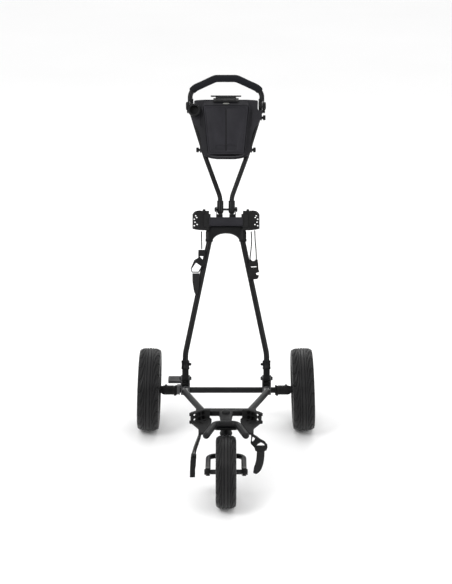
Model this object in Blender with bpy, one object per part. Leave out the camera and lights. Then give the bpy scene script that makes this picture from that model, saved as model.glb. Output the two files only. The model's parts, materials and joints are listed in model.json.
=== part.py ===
"""Three-wheel golf push cart: a folding tube frame on two large rear wheels and a swivelling front wheel.

Metres, +Z up, the front wheel towards -Y.  "forward" below is the distance ahead of the rear axle.
"""
import math

import bmesh
import bpy
from mathutils import Matrix, Vector

for old in list(bpy.data.objects):
    bpy.data.objects.remove(old, do_unlink=True)

# ---- driving dimensions -------------------------------------------------------------------------
GAP = 0.0003                      # running gap between pieces that touch
AXLE_Y = 0.1260                   # world Y of the rear axle
AXLE_Z = 0.137                    # height of the axle bar
REAR_RADIUS = 0.140               # 11 inch rear wheels
FRONT_RADIUS = 0.112              # 9 inch front wheel
REAR_WIDTH = 0.074
FRONT_WIDTH = 0.064
TRACK_HALF = 0.259                # rear wheel centre plane
CAMBER = math.radians(2.0)        # rear wheels lean in at the top
SWIVEL_FORWARD = 0.440            # vertical swivel axis of the front fork
FRONT_AXLE_FORWARD = 0.569
BRACKET_X = 0.137                 # the two hinge brackets on the axle bar
PIVOT_Z = 0.180                   # mast fold pivot
LEAN = math.atan2(0.4452, 1.0)    # the mast leans back this much
BAR_R = 0.010                     # axle bar and lower tubes
MAST_R = 0.0095
HANDLE_R = 0.008
GRIP_R = 0.0125
LOOP_R = 0.0085
FOLD_Z = 0.704                    # cross bolt the handle folds about
TILT_Z = 1.029                    # joints the grip tilts about
TILT_X = 0.124

ALONG = Vector((0.0, math.sin(LEAN), math.cos(LEAN)))      # up the mast
FACE = Vector((0.0, -math.cos(LEAN), math.sin(LEAN)))      # out of the front of the mast
SIDES = (("left", -1.0), ("right", 1.0))


def at(x, forward, z):
    return Vector((x, AXLE_Y - forward, z))


def on_mast(x, up, out=0.0):
    """A point on the leaning mast plane: up the mast from its pivot, out of its front face."""
    return at(x, 0.0, PIVOT_Z) + ALONG * up + FACE * out


def mast_up(z):
    return (z - PIVOT_Z) / math.cos(LEAN)


# ---- materials ----------------------------------------------------------------------------------
def material(name, colour, roughness, metallic=0.0):
    made = bpy.data.materials.new(name)
    made.use_nodes = True
    shader = made.node_tree.nodes["Principled BSDF"]
    shader.inputs["Base Color"].default_value = (*colour, 1.0)
    shader.inputs["Roughness"].default_value = roughness
    shader.inputs["Metallic"].default_value = metallic
    return made


TUBE_BLACK = material("tube_black", (0.013, 0.013, 0.014), 0.38, 0.2)
BRACKET_BLACK = material("bracket_black", (0.012, 0.012, 0.013), 0.48)
PLASTIC_BLACK = material("plastic_black", (0.014, 0.014, 0.015), 0.55)
CONSOLE_GREY = material("console_charcoal", (0.040, 0.038, 0.045), 0.5)
FOAM_BLACK = material("foam_black", (0.010, 0.011, 0.014), 0.9)
TYRE_BLACK = material("tyre_black", (0.028, 0.028, 0.029), 0.85)
RUBBER_BLACK = material("rubber_black", (0.015, 0.015, 0.015), 0.8)
STEEL = material("bolt_steel", (0.30, 0.30, 0.31), 0.35, 1.0)
EAR_STEEL = material("ear_steel", (0.22, 0.22, 0.23), 0.4, 1.0)
PEDAL_GREY = material("pedal_grey", (0.10, 0.10, 0.105), 0.55)
BADGE_GREY = material("badge_grey", (0.26, 0.26, 0.24), 0.4)
WEB_BLACK = material("webbing_black", (0.012, 0.012, 0.013), 0.85)
CORD_BLACK = material("cord_black", (0.014, 0.014, 0.014), 0.8)


# ---- mesh helpers -------------------------------------------------------------------------------
def node(name, bm, paint, origin=None, crease=35.0):
    """One closed body from a mesh in world coordinates, its origin moved onto the given point."""
    origin = Vector((0, 0, 0)) if origin is None else origin
    bmesh.ops.translate(bm, verts=bm.verts, vec=-origin)
    bmesh.ops.recalc_face_normals(bm, faces=bm.faces)
    if bm.calc_volume(signed=True) < 0:
        bmesh.ops.reverse_faces(bm, faces=bm.faces)
    mesh = bpy.data.meshes.new(name)
    bm.to_mesh(mesh)
    bm.free()
    mesh.polygons.foreach_set("use_smooth", [True] * len(mesh.polygons))
    mesh.set_sharp_from_angle(angle=math.radians(crease))
    made = bpy.data.objects.new(name, mesh)
    made.location = origin
    made.data.materials.append(paint)
    bpy.context.scene.collection.objects.link(made)
    return made


def loft(rings, closed=False):
    """Skin a list of rings of equal length; the ends are capped, or joined when closed."""
    bm = bmesh.new()
    rows = [[bm.verts.new(point) for point in ring] for ring in rings]
    count = len(rows[0])
    pairs = list(zip(rows, rows[1:]))
    if closed:
        pairs.append((rows[-1], rows[0]))
    for lower, upper in pairs:
        for i in range(count):
            j = (i + 1) % count
            bm.faces.new((lower[i], lower[j], upper[j], upper[i]))
    if not closed:
        bm.faces.new(rows[0][::-1])
        bm.faces.new(rows[-1])
    return bm


def square_frame(direction, hint=None):
    """Two unit vectors square to a direction."""
    direction = direction.normalized()
    hint = hint or (Vector((1, 0, 0)) if abs(direction.x) < 0.9 else Vector((0, 0, 1)))
    side = (hint - direction * hint.dot(direction)).normalized()
    return side, direction.cross(side).normalized()


def rounded(points, radius, steps=3):
    """A path with each inner corner turned into an arc."""
    path = [points[0]]
    for before, corner, after in zip(points, points[1:], points[2:]):
        back = (before - corner).normalized()
        ahead = (after - corner).normalized()
        turn = math.pi - back.angle(ahead)
        reach = radius * math.tan(turn / 2)
        start = corner + back * reach
        centre_way = (back + ahead).normalized()
        centre = corner + centre_way * (radius / math.cos(turn / 2))
        spoke = start - centre
        axis = back.cross(ahead).normalized()
        for k in range(steps + 1):
            path.append(centre + Matrix.Rotation(-turn * k / steps, 3, axis) @ spoke)
    path.append(points[-1])
    return path


def sweep_rings(path, radius, sides, start_normal=None, end_normal=None):
    """Circles square to a path, mitred at its corners, turning as little as possible along it."""
    radii = radius if isinstance(radius, list) else [radius] * len(path)
    ways = [(b - a).normalized() for a, b in zip(path, path[1:])]
    side, _ = square_frame(ways[0])
    rings = []
    for k, point in enumerate(path):
        if k == 0:
            way, normal = ways[0], start_normal or ways[0]
        elif k == len(path) - 1:
            way, normal = ways[-1], end_normal or ways[-1]
        else:
            way, normal = ways[k - 1], (ways[k - 1] + ways[k]).normalized()
        side = (side - way * side.dot(way)).normalized()
        other = way.cross(side)
        ring = []
        for i in range(sides):
            turn = math.tau * (i + 0.5) / sides
            spot = point + (side * math.cos(turn) + other * math.sin(turn)) * radii[k]
            ring.append(spot + way * ((point - spot).dot(normal) / way.dot(normal)))
        rings.append(ring)
    return rings


def tube(path, radius, sides=12, start_normal=None, end_normal=None):
    return loft(sweep_rings(path, radius, sides, start_normal, end_normal))


def sleeve(path, radius, bore, sides=12):
    """A hollow tube along a path, open at both ends."""
    outer = sweep_rings(path, radius, sides)
    inner = sweep_rings(path, bore, sides)
    return loft(outer + inner[::-1], closed=True)


def turned(profile, centre, axis, sides=24, ring=False, phase=0.0):
    """Revolve (along, radius) pairs about an axis; a ring's profile closes on itself off the axis."""
    axis = axis.normalized()
    side, other = square_frame(axis)
    bm = bmesh.new()
    rows = []
    for along, radius in profile:
        if radius < 1e-7:
            rows.append([bm.verts.new(centre + axis * along)])
            continue
        row = []
        for i in range(sides):
            turn = math.tau * (i + phase) / sides
            way = side * math.cos(turn) + other * math.sin(turn)
            row.append(bm.verts.new(centre + axis * along + way * radius))
        rows.append(row)
    pairs = list(zip(rows, rows[1:]))
    if ring:
        pairs.append((rows[-1], rows[0]))
    for lower, upper in pairs:
        for i in range(sides):
            j = (i + 1) % sides
            if len(lower) == 1 and len(upper) == 1:
                continue
            if len(lower) == 1:
                bm.faces.new((lower[0], upper[j], upper[i]))
            elif len(upper) == 1:
                bm.faces.new((lower[i], lower[j], upper[0]))
            else:
                bm.faces.new((lower[i], lower[j], upper[j], upper[i]))
    return bm


def rod(radius, length_from, length_to, centre, axis, sides=20, edge=0.0):
    """A solid cylinder between two distances along an axis, its rims chamfered by edge."""
    if edge <= 0:
        profile = [(length_from, 0), (length_from, radius), (length_to, radius), (length_to, 0)]
    else:
        profile = [
            (length_from, 0), (length_from, radius - edge), (length_from + edge, radius),
            (length_to - edge, radius), (length_to, radius - edge), (length_to, 0),
        ]
    return turned(profile, centre, axis, sides)


def prism(outline, start, end, across, up, origin):
    """Extrude a flat outline of (across, up) pairs from start to end along their cross product."""
    out = across.cross(up).normalized()
    rings = []
    for level in (start, end):
        rings.append([origin + across * a + up * b + out * level for a, b in outline])
    return loft(rings)


def block(centre, size, across=Vector((1, 0, 0)), up=Vector((0, 0, 1))):
    a, b, c = (s / 2 for s in size)
    outline = [(-a, -b), (a, -b), (a, b), (-a, b)]
    return prism(outline, -c, c, across, up, centre)


def soften(made, width, segments=2, angle=40.0):
    """Round a node's sharp edges."""
    bevel = made.modifiers.new("edges", "BEVEL")
    bevel.width = width
    bevel.segments = segments
    bevel.limit_method = "ANGLE"
    bevel.angle_limit = math.radians(angle)
    bevel.use_clamp_overlap = True
    bevel.harden_normals = False
    return made


def cut(made, bm, name="cutter"):
    """Remove a closed cutter from a node."""
    cutter = node(f"{made.name}_{name}", bm, BRACKET_BLACK)
    cutter.hide_render = True
    cutter.display_type = "WIRE"
    step = made.modifiers.new(name, "BOOLEAN")
    step.operation = "DIFFERENCE"
    step.solver = "EXACT"
    step.object = cutter
    return made


def join(made, bm, name="joined"):
    """Weld another closed form that overlaps a node onto it."""
    other = node(f"{made.name}_{name}", bm, BRACKET_BLACK)
    other.hide_render = True
    other.display_type = "WIRE"
    step = made.modifiers.new(name, "BOOLEAN")
    step.operation = "UNION"
    step.solver = "EXACT"
    step.object = other
    return made


def arc(centre_a, centre_b, radius, start, end, steps):
    """Points of an arc in a flat outline, angles in degrees."""
    points = []
    for k in range(steps + 1):
        turn = math.radians(start + (end - start) * k / steps)
        points.append((centre_a + radius * math.cos(turn), centre_b + radius * math.sin(turn)))
    return points


X = Vector((1, 0, 0))
AHEAD = Vector((0, -1, 0))
UP = Vector((0, 0, 1))


# ---- axle and hinge brackets --------------------------------------------------------------------
node("axle_bar", rod(BAR_R, -0.190, 0.190, at(0, 0, AXLE_Z), X, 20, 0.001), TUBE_BLACK)

tube_way = (at(0.134, 0.215, 0.225) - at(0.137, 0, 0.137)).normalized()
for side, s in SIDES:
    # clevis round the axle bar; its two ears carry the mast pivot
    foot = at(s * BRACKET_X, 0, 0)
    outline = arc(0, AXLE_Z, 0.017, 172, 368, 12) + arc(0, PIVOT_Z, 0.011, 8, 172, 8)
    bracket = node(f"hinge_bracket_{side}", prism(outline, -0.015, 0.015, AHEAD, UP, foot), EAR_STEEL)
    cut(bracket, block(at(s * BRACKET_X, 0, 0.1855), (0.0224, 0.05, 0.06)), "slot")
    cut(bracket, rod(0.0103, -0.03, 0.03, at(s * BRACKET_X, 0, AXLE_Z), X, 20), "bore")
    cut(bracket, rod(0.0044, -0.03, 0.03, at(s * BRACKET_X, 0, PIVOT_Z), X, 12), "pin_hole")
    way = Vector((s * tube_way.x, tube_way.y, tube_way.z))
    cut(bracket, rod(0.0104, 0.0, 0.04, at(s * BRACKET_X, 0, AXLE_Z), way, 20), "socket")

    profile = [
        (-0.0205, 0), (-0.0205, 0.0068), (-0.0195, 0.0075), (-0.0153, 0.0075), (-0.0153, 0.004),
        (0.0153, 0.004), (0.0153, 0.0075), (0.0195, 0.0075), (0.0205, 0.0068), (0.0205, 0),
    ]
    node(f"pivot_bolt_{side}", turned(profile, at(s * BRACKET_X, 0, PIVOT_Z), X, 12), STEEL)

    # tube from the bracket forward and in to the front crossbar, clear of the swivelling wheel
    start = at(s * BRACKET_X, 0, AXLE_Z) + way * 0.0125
    points = [start, at(s * 0.134, 0.215, 0.225), at(s * 0.107, 0.300, 0.232), at(s * 0.0741, 0.4047, 0.2417)]
    path = rounded(points, 0.07)
    node(f"lower_tube_{side}", tube(path, BAR_R, 14, end_normal=AHEAD), TUBE_BLACK)

# ---- wheels -------------------------------------------------------------------------------------
WHEEL_SIDES = 28                  # the flats between these corners lie on the rolling radius


def tyre_profile(radius, bead, width):
    """Half the section from bead to crown, mirrored; the tread crown has a 120 mm radius."""
    radius = radius / math.cos(math.pi / WHEEL_SIDES)

    def crown(offset):
        return radius - 0.12 + math.sqrt(0.12 ** 2 - offset ** 2)

    half = width / 2
    one = [
        (half - 0.007, bead), (half - 0.0005, bead + 0.011), (half - 0.0020, radius - 0.0072),
        (half - 0.0085, crown(half - 0.0085)), (half - 0.020, crown(half - 0.020)),
    ]
    return [(-a, r) for a, r in one] + [(0.0, radius)] + one[::-1]


def rim_profile(bead, hub, bore, width):
    inner = bead - GAP
    seat = width / 2 - 0.0075
    half = [
        (0.0270, bore), (0.0270, hub), (0.0048, hub + 0.003), (0.0042, inner - 0.012),
        (seat - 0.0005, inner - 0.006), (seat, inner),
    ]
    return [(-a, r) for a, r in half] + half[::-1]


def wheel(name, centre, axis, radius, width, bead, windows):
    """Foam tyre on a moulded rim with rounded windows between its spokes."""
    tyre = turned(tyre_profile(radius, bead, width), centre, axis, WHEEL_SIDES, ring=True, phase=0.5)
    node(f"{name}_tyre", tyre, TYRE_BLACK, centre)
    hub = 0.021 if radius > 0.12 else 0.018
    rim = turned(rim_profile(bead, hub, 0.0064, width), centre, axis, WHEEL_SIDES, ring=True, phase=0.5)
    rim = node(f"{name}_rim", rim, PLASTIC_BLACK, centre)
    side, other = square_frame(axis)
    inner, outer = hub + 0.009, bead - 0.020
    cutters = bmesh.new()
    for k in range(windows):
        middle = 360.0 * k / windows
        wide = 360.0 / windows
        outline = arc(0, 0, outer, middle - wide * 0.34, middle + wide * 0.34, 3)
        outline += arc(0, 0, inner, middle + wide * 0.20, middle - wide * 0.20, 1)
        piece = prism(outline, -0.02, 0.02, side, other, centre)
        bmesh.ops.recalc_face_normals(piece, faces=piece.faces)
        lump = bpy.data.meshes.new("lump")
        piece.to_mesh(lump)
        piece.free()
        cutters.from_mesh(lump)
        bpy.data.meshes.remove(lump)
    cut(rim, cutters, "windows")


def lowest(radius, tilt):
    """Height of a leaning wheel's centre when its crowned tread rests on the floor."""
    return (radius - 0.12) * math.cos(tilt) + 0.12


REAR_CENTRE_Z = lowest(REAR_RADIUS, CAMBER)
for side, s in SIDES:
    outward = Vector((s * math.cos(CAMBER), 0, math.sin(CAMBER)))
    centre = at(s * TRACK_HALF, 0, REAR_CENTRE_Z)
    wheel(f"rear_wheel_{side}", centre, outward, REAR_RADIUS, REAR_WIDTH, 0.1063, 6)

    # stub axle with its shoulder and end nut
    stub = [
        (-0.0505, 0), (-0.0505, 0.0125), (-0.0280, 0.0125), (-0.0280, 0.006), (0.0280, 0.006),
        (0.0280, 0.0110), (0.0330, 0.0110), (0.0345, 0.0090), (0.0345, 0),
    ]

    # sleeve over the end of the bar, with a flange and a pocket for the release button
    way = Vector((s, 0, 0))
    profile = [
        (0.1905, 0), (0.1905, 0.0103), (0.1660, 0.0103), (0.1660, 0.01725), (0.1715, 0.01725),
        (0.1725, 0.0160), (0.2080, 0.0160), (0.2165, 0.0145), (0.2165, 0),
    ]
    hub_sleeve = node(f"hub_sleeve_{side}", turned(profile, at(0, 0, AXLE_Z), way, 16), PLASTIC_BLACK)
    spot = at(s * 0.2025, 0, AXLE_Z)
    cut(hub_sleeve, rod(0.0046, 0.006, 0.03, spot, UP, 12), "pocket")
    join(hub_sleeve, turned(stub, centre, outward, 14), "stub_axle")
    node(f"release_button_{side}", rod(0.0042, 0.0105, 0.0205, spot, UP, 12, 0.001), PEDAL_GREY, spot)

# ---- brake pedal --------------------------------------------------------------------------------
BRAKE_X = -0.159
BRAKE_BACK = -0.030
outline = arc(0, AXLE_Z, 0.0155, -80, 80, 8) + arc(BRAKE_BACK, AXLE_Z, 0.008, 105, 255, 6)
mount = node("brake_mount", prism(outline, -0.0030, 0.0065, AHEAD, UP, at(BRAKE_X, 0, 0)), BRACKET_BLACK)
cut(mount, rod(0.0103, -0.03, 0.03, at(BRAKE_X, 0, AXLE_Z), X, 20), "bore")

outline = arc(BRAKE_BACK, AXLE_Z, 0.0085, -90, 80, 6)
outline += [(-0.045, 0.1360), (-0.098, 0.1360), (-0.104, 0.1330), (-0.104, 0.1290), (-0.060, 0.1240)]
arm = node("brake_arm", prism(outline, 0.0, 0.0055, AHEAD, UP, at(-0.1500, 0, 0)), BRACKET_BLACK,
           at(-0.1528, BRAKE_BACK, AXLE_Z))
cut(arm, rod(0.0034, -0.03, 0.03, at(BRAKE_X, BRAKE_BACK, AXLE_Z), X, 12), "pin_hole")
profile = [
    (-0.0100, 0), (-0.0100, 0.005), (-0.0069, 0.005), (-0.0069, 0.003), (0.0098, 0.003),
    (0.0098, 0.005), (0.0130, 0.005), (0.0130, 0),
]
join(mount, turned(profile, at(BRAKE_X, BRAKE_BACK, AXLE_Z), X, 12), "pin")

outline = [(-0.198, -0.100), (-0.1490, -0.100), (-0.1490, -0.058), (-0.198, -0.058)]
pedal = node("brake_pedal", prism(outline, -0.005, 0.005, X, AHEAD, at(0, 0, 0.1414)), PEDAL_GREY,
             at(-0.1735, -0.079, 0.1414))
ribs = bmesh.new()
for k in range(4):
    groove = block(at(-0.1735, -0.067 - 0.008 * k, 0.1469), (0.040, 0.003, 0.003))
    bmesh.ops.recalc_face_normals(groove, faces=groove.faces)
    lump = bpy.data.meshes.new("lump")
    groove.to_mesh(lump)
    groove.free()
    ribs.from_mesh(lump)
    bpy.data.meshes.remove(lump)
cut(pedal, ribs, "grooves")

# ---- front crossbar, steering head and bag base fork --------------------------------------------
outline = [
    (-0.094, 0.405), (0.094, 0.405), (0.094, 0.430), (0.027, 0.430), (0.025, 0.446), (0.022, 0.462),
    (0.017, 0.470), (0.017, 0.4977), (-0.017, 0.4977), (-0.017, 0.470), (-0.022, 0.462),
    (-0.025, 0.446), (-0.027, 0.430), (-0.094, 0.430),
]
crossbar = node("lower_crossbar", prism(outline, -0.0085, 0.0085, X, AHEAD, at(0, 0, 0.2435)), BRACKET_BLACK)
soften(crossbar, 0.0025, 1)
cap = [(0.2480, 0), (0.2480, 0.013), (0.2560, 0.013), (0.2585, 0.011), (0.2600, 0.007), (0.2600, 0)]
join(crossbar, turned(cap, at(0, SWIVEL_FORWARD, 0), UP, 16), "cap")

profile = [
    (0.2245, 0), (0.2245, 0.0106), (0.1780, 0.0106), (0.1780, 0.0195), (0.1850, 0.0195),
    (0.1870, 0.0175), (0.2347, 0.0175), (0.2347, 0),
]
node("head_tube", turned(profile, at(0, SWIVEL_FORWARD, 0), UP, 20), BRACKET_BLACK)

FORK_Z = 0.245
points = [at(x, f, FORK_Z) for x, f in ((-0.0593, 0.590), (-0.034, 0.509), (0.034, 0.509), (0.0593, 0.590))]
path = rounded(points, 0.022, 4)
radii = [0.0105] * len(path)
for end, before in ((0, 1), (-1, -2)):
    leg_way = (path[end] - path[before]).normalized()
    tips = [path[end] + leg_way * reach for reach in (0.0045, 0.0090, 0.0118, 0.0128)]
    if end == 0:
        path, radii = tips[::-1] + path, [0.0016, 0.0052, 0.0088, 0.0104] + radii
    else:
        path, radii = path + tips, radii + [0.0104, 0.0088, 0.0052, 0.0016]
node("bag_base_fork", tube(path, radii, 14), TUBE_BLACK)
WING_Z = 0.2432                   # the swivelling wheel passes under the wings
for side, s in SIDES:
    # bent wing that keeps the foot of the bag from sliding sideways, with a ladder of windows
    strip = [(0.050, 0.4303), (0.0768, 0.4303), (0.1115, 0.4588), (0.1040, 0.4681), (0.0725, 0.4423),
             (0.050, 0.4423)]
    strip = [(s * a, b) for a, b in strip]
    wing = node(f"lower_wing_{side}", prism(strip, -0.0179, 0.0179, X, AHEAD, at(0, 0, WING_Z)), RUBBER_BLACK)
    along = Vector((s * 0.0392, -0.0322, 0)).normalized()
    for k, (across, deep) in enumerate(((0.0305, 0.02), (0.0305, 0.02), (0.0110, 0.005), (0.0110, 0.005))):
        height = WING_Z + (0.0092 if k % 2 else -0.0040)
        middle = at(s * 0.0725, 0.4423, height) + along * across
        cut(wing, block(middle, (0.0130, 0.0096, deep * 2), along, UP), f"window_{k}")
    # gusset plate in front of it that narrows to a lug, where a strap hangs
    plate = [(0.0500, 0.4350), (0.0780, 0.4350), (0.1085, 0.4625), (0.1060, 0.4690), (0.0850, 0.5080),
             (0.0840, 0.5480), (0.0740, 0.5480), (0.0600, 0.4900), (0.0500, 0.4500)]
    plate = [(s * a, b) for a, b in plate]
    join(wing, prism(plate, -0.0036, 0.0036, X, AHEAD, at(0, 0, 0.2303)), "strap_lug")
    soften(wing, 0.0015, 1, 50)

# ---- swivelling fork and front wheel ------------------------------------------------------------
front_centre = at(0, FRONT_AXLE_FORWARD, FRONT_RADIUS)
swivel = at(0, SWIVEL_FORWARD, 0)
stem = [
    (0.1000, 0), (0.1000, 0.0140), (0.1250, 0.0150), (0.1720, 0.0150), (0.1765, 0.0140),
    (0.1765, 0.0101), (0.2180, 0.0101), (0.2190, 0.0090), (0.2190, 0),
]

points = [at(x, f, z) for x, f, z in ((-0.0555, 0.5555, 0.110), (-0.0555, 0.437, 0.102),
                                     (0.0555, 0.437, 0.102), (0.0555, 0.5555, 0.110))]
yoke = node("fork_yoke", tube(rounded(points, 0.024, 4), 0.0082, 12, start_normal=-AHEAD, end_normal=AHEAD),
            TUBE_BLACK, swivel)
crown = node("fork_stem", block(at(0, 0.4375, 0.1065), (0.046, 0.031, 0.029)), BRACKET_BLACK, swivel)
soften(crown, 0.003, 1)
join(crown, turned(stem, swivel, UP, 20), "stem")
cut(crown, rod(0.0086, -0.04, 0.04, at(0, 0.437, 0.102), X, 14), "bore")
for side, s in SIDES:
    outline = arc(FRONT_AXLE_FORWARD, FRONT_RADIUS, 0.0125, -100, 100, 8)
    outline += [(0.5450, 0.1180), (0.5450, 0.1030)]
    join(yoke, prism(outline, -0.006, 0.006, AHEAD, UP, at(s * 0.0555, 0, 0)), f"tip_{side}")
cut(yoke, rod(0.0054, -0.08, 0.08, at(0, FRONT_AXLE_FORWARD, FRONT_RADIUS), X, 12), "axle_hole")
half = [(0.0280, 0.006), (0.0280, 0.0085), (0.0490, 0.0085), (0.0490, 0.005), (0.0618, 0.005),
        (0.0618, 0.0095), (0.0655, 0.0095), (0.0668, 0.0080), (0.0668, 0)]
profile = [(-a, r) for a, r in half[::-1]] + half
node("front_axle", turned(profile, front_centre, X, 12), STEEL, swivel)
wheel("front_wheel", front_centre, X, FRONT_RADIUS, FRONT_WIDTH, 0.0783, 5)

# ---- mast ---------------------------------------------------------------------------------------
UP_COLLAR = 0.0345
UP_BRACKET = mast_up(0.604)
UP_BAR = UP_BRACKET + 0.0507
UP_FOLD = mast_up(FOLD_Z)
UP_TILT = mast_up(TILT_Z)
mast_pivot = on_mast(0, 0)
for side, s in SIDES:
    foot = on_mast(s * BRACKET_X, 0)
    outline = arc(0, 0, 0.0105, 180, 360, 8) + [(0.0092, 0.034), (-0.0092, 0.034)]
    knuckle = node(f"mast_knuckle_{side}", prism(outline, -0.0109, 0.0109, FACE, ALONG, foot), BRACKET_BLACK,
                   mast_pivot)
    cut(knuckle, rod(0.0044, -0.03, 0.03, foot, X, 12), "pin_hole")
    profile = [
        (UP_COLLAR - 0.004, 0), (UP_COLLAR - 0.004, 0.0127), (UP_COLLAR - 0.003, 0.0137),
        (UP_COLLAR + 0.025, 0.0137), (UP_COLLAR + 0.0262, 0.0127), (UP_COLLAR + 0.0262, 0.0098),
        (UP_COLLAR, 0.0098), (UP_COLLAR, 0),
    ]
    join(knuckle, turned(profile, foot, ALONG, 16), "collar")
    profile = [(0.0125, 0), (0.0125, 0.0052), (0.0190, 0.0052), (0.0202, 0.0040), (0.0202, 0)]
    join(knuckle, turned(profile, on_mast(s * BRACKET_X, UP_COLLAR + 0.013), Vector((-s, 0, 0)), 8), "bolt")

    points = [(BRACKET_X, UP_COLLAR + 0.0003), (BRACKET_X, mast_up(0.256)), (0.057, UP_BRACKET - GAP)]
    path = rounded([on_mast(s * a, b) for a, b in points], 0.10, 4)
    node(f"mast_tube_{side}", tube(path, MAST_R, 14, end_normal=ALONG), TUBE_BLACK, mast_pivot)


# arched bracket the two mast tubes end in
outline = [(0.0455, UP_BRACKET), (0.0690, UP_BRACKET), (0.0690, UP_BRACKET + 0.031),
           (0.0640, UP_BRACKET + 0.0455), (0.0520, UP_BRACKET + 0.0504), (-0.0520, UP_BRACKET + 0.0504),
           (-0.0640, UP_BRACKET + 0.0455), (-0.0690, UP_BRACKET + 0.031), (-0.0690, UP_BRACKET),
           (-0.0455, UP_BRACKET)]
for k in range(1, 12):
    turn = math.pi - math.pi * k / 12
    outline.append((0.0455 * math.cos(turn), UP_BRACKET + 0.028 * math.sin(turn)))
arch = node("arch_bracket", prism(outline, -0.012, 0.012, X, ALONG, at(0, 0, PIVOT_Z)), BRACKET_BLACK, mast_pivot)
soften(arch, 0.0012, 1, 60)

outline = [(-0.057, UP_BAR), (0.057, UP_BAR), (0.057, UP_BAR + 0.029), (-0.057, UP_BAR + 0.029)]
bar = node("upper_crossbar", prism(outline, 0.004, 0.031, X, ALONG, at(0, 0, PIVOT_Z)), PLASTIC_BLACK, mast_pivot)
soften(bar, 0.004, 2)

# two posts on the crossbar, each with an ear outside the sleeve that turns on the cross bolt
post_low, post_high = UP_BAR + 0.020, UP_FOLD - 0.0172
for side, s in SIDES:
    post = block(on_mast(s * 0.0223, (post_low + post_high) / 2, 0.00825), (0.0226, post_high - post_low, 0.0075),
                 X, ALONG)
    join(bar, post, f"post_{side}")
    outline = [(0.0045, post_low), (0.0120, post_low)] + arc(0, UP_FOLD, 0.0095, -20, 215, 10)
    inner, outer = sorted((-s * 0.0310, -s * 0.0336))
    join(bar, prism(outline, inner, outer, FACE, ALONG, at(0, 0, PIVOT_Z)), f"ear_{side}")
cut(bar, rod(0.0043, -0.05, 0.05, on_mast(0, UP_FOLD), X, 12), "pin_hole")

half = [(0.0339, 0.004), (0.0339, 0.0075), (0.0350, 0.0085), (0.0378, 0.0085), (0.0390, 0.0070), (0.0390, 0)]
profile = [(-a, r) for a, r in half[::-1]] + half
node("cross_bolt", turned(profile, on_mast(0, UP_FOLD), X, 14), STEEL, mast_pivot)

for side, s in SIDES:
    strip = [(0.0575, 0.0125), (0.0800, 0.0125), (0.1140, 0.0400), (0.1080, 0.0500), (0.0760, 0.0255),
             (0.0575, 0.0255)]
    strip = [(s * a, b) for a, b in strip]
    wing = node(f"upper_wing_{side}", prism(strip, -0.033, 0.033, X, FACE, on_mast(0, 0.5335)), RUBBER_BLACK,
                mast_pivot)
    along = (X * (s * 0.032) + FACE * 0.0245).normalized()
    for k, height in enumerate((0.5160, 0.5335, 0.5510)):
        middle = on_mast(s * 0.0760, height, 0.0255) + along * 0.022
        cut(wing, block(middle, (0.022, 0.0105, 0.05), along, ALONG), f"window_{k}")
    soften(wing, 0.0025, 1, 50)

# ---- handle frame -------------------------------------------------------------------------------
fold_pivot = on_mast(0, UP_FOLD)
tilt_pivot = on_mast(0, UP_TILT)
for side, s in SIDES:
    # sleeve on the cross bolt, with the handle tube plugged into its top
    profile = [
        (-0.0165, 0), (-0.0155, 0.006), (-0.0125, 0.0093), (-0.0070, 0.0112), (0.0280, 0.0112),
        (0.0300, 0.0100), (0.0300, 0),
    ]
    foot = on_mast(s * 0.0195, UP_FOLD)
    points = [(0.0195, UP_FOLD + 0.0100), (0.0200, mast_up(0.743)), (0.071, mast_up(0.871)),
              (TILT_X - 0.0050, UP_TILT - 0.0152)]
    path = rounded([on_mast(s * a, b) for a, b in points], 0.07)
    made = node(f"handle_tube_{side}", tube(path, HANDLE_R, 12, end_normal=ALONG), TUBE_BLACK, fold_pivot)
    join(made, turned(profile, foot, ALONG, 14), "sleeve")
    cut(made, rod(0.0043, -0.02, 0.02, foot, X, 12), "pin_hole")
    disc = [(0.0003, 0), (0.0003, 0.0135), (0.0010, 0.0145), (0.0105, 0.0145), (0.0125, 0.0120), (0.0130, 0)]
    join(made, turned(disc, on_mast(s * TILT_X, UP_TILT), Vector((s, 0, 0)), 18), "tilt_disc")
    join(made, block(on_mast(s * (TILT_X + 0.0049), UP_TILT - 0.0160), (0.0092, 0.0160, 0.0120), X, ALONG), "neck")

LOOP_X, BOW_CORNER = 0.1225, 0.984
loop = [(-LOOP_X, UP_TILT + 0.0152), (-LOOP_X, BOW_CORNER), (-0.036, mast_up(1.116)),
        (0.036, mast_up(1.116)), (LOOP_X, BOW_CORNER), (LOOP_X, UP_TILT + 0.0152)]
turned_path = rounded([on_mast(a, b) for a, b in loop], 0.040, 4)
handle_loop = node("handle_loop", tube(turned_path, LOOP_R, 12), TUBE_BLACK, tilt_pivot)
for side, s in SIDES:
    disc = [(0.0003, 0), (0.0003, 0.0135), (0.0010, 0.0145), (0.0120, 0.0145), (0.0130, 0.0135), (0.0130, 0)]
    join(handle_loop, turned(disc, on_mast(s * TILT_X, UP_TILT), Vector((-s, 0, 0)), 18), f"disc_{side}")
    neck = on_mast(s * (TILT_X - 0.0066), UP_TILT + 0.0160)
    join(handle_loop, block(neck, (0.0120, 0.0160, 0.0120), X, ALONG), f"neck_{side}")
grip_bore = LOOP_R / math.cos(math.pi / 12) + GAP
node("foam_grip", sleeve(turned_path[3:-3], GRIP_R, grip_bore, 12), FOAM_BLACK, tilt_pivot)

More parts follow.
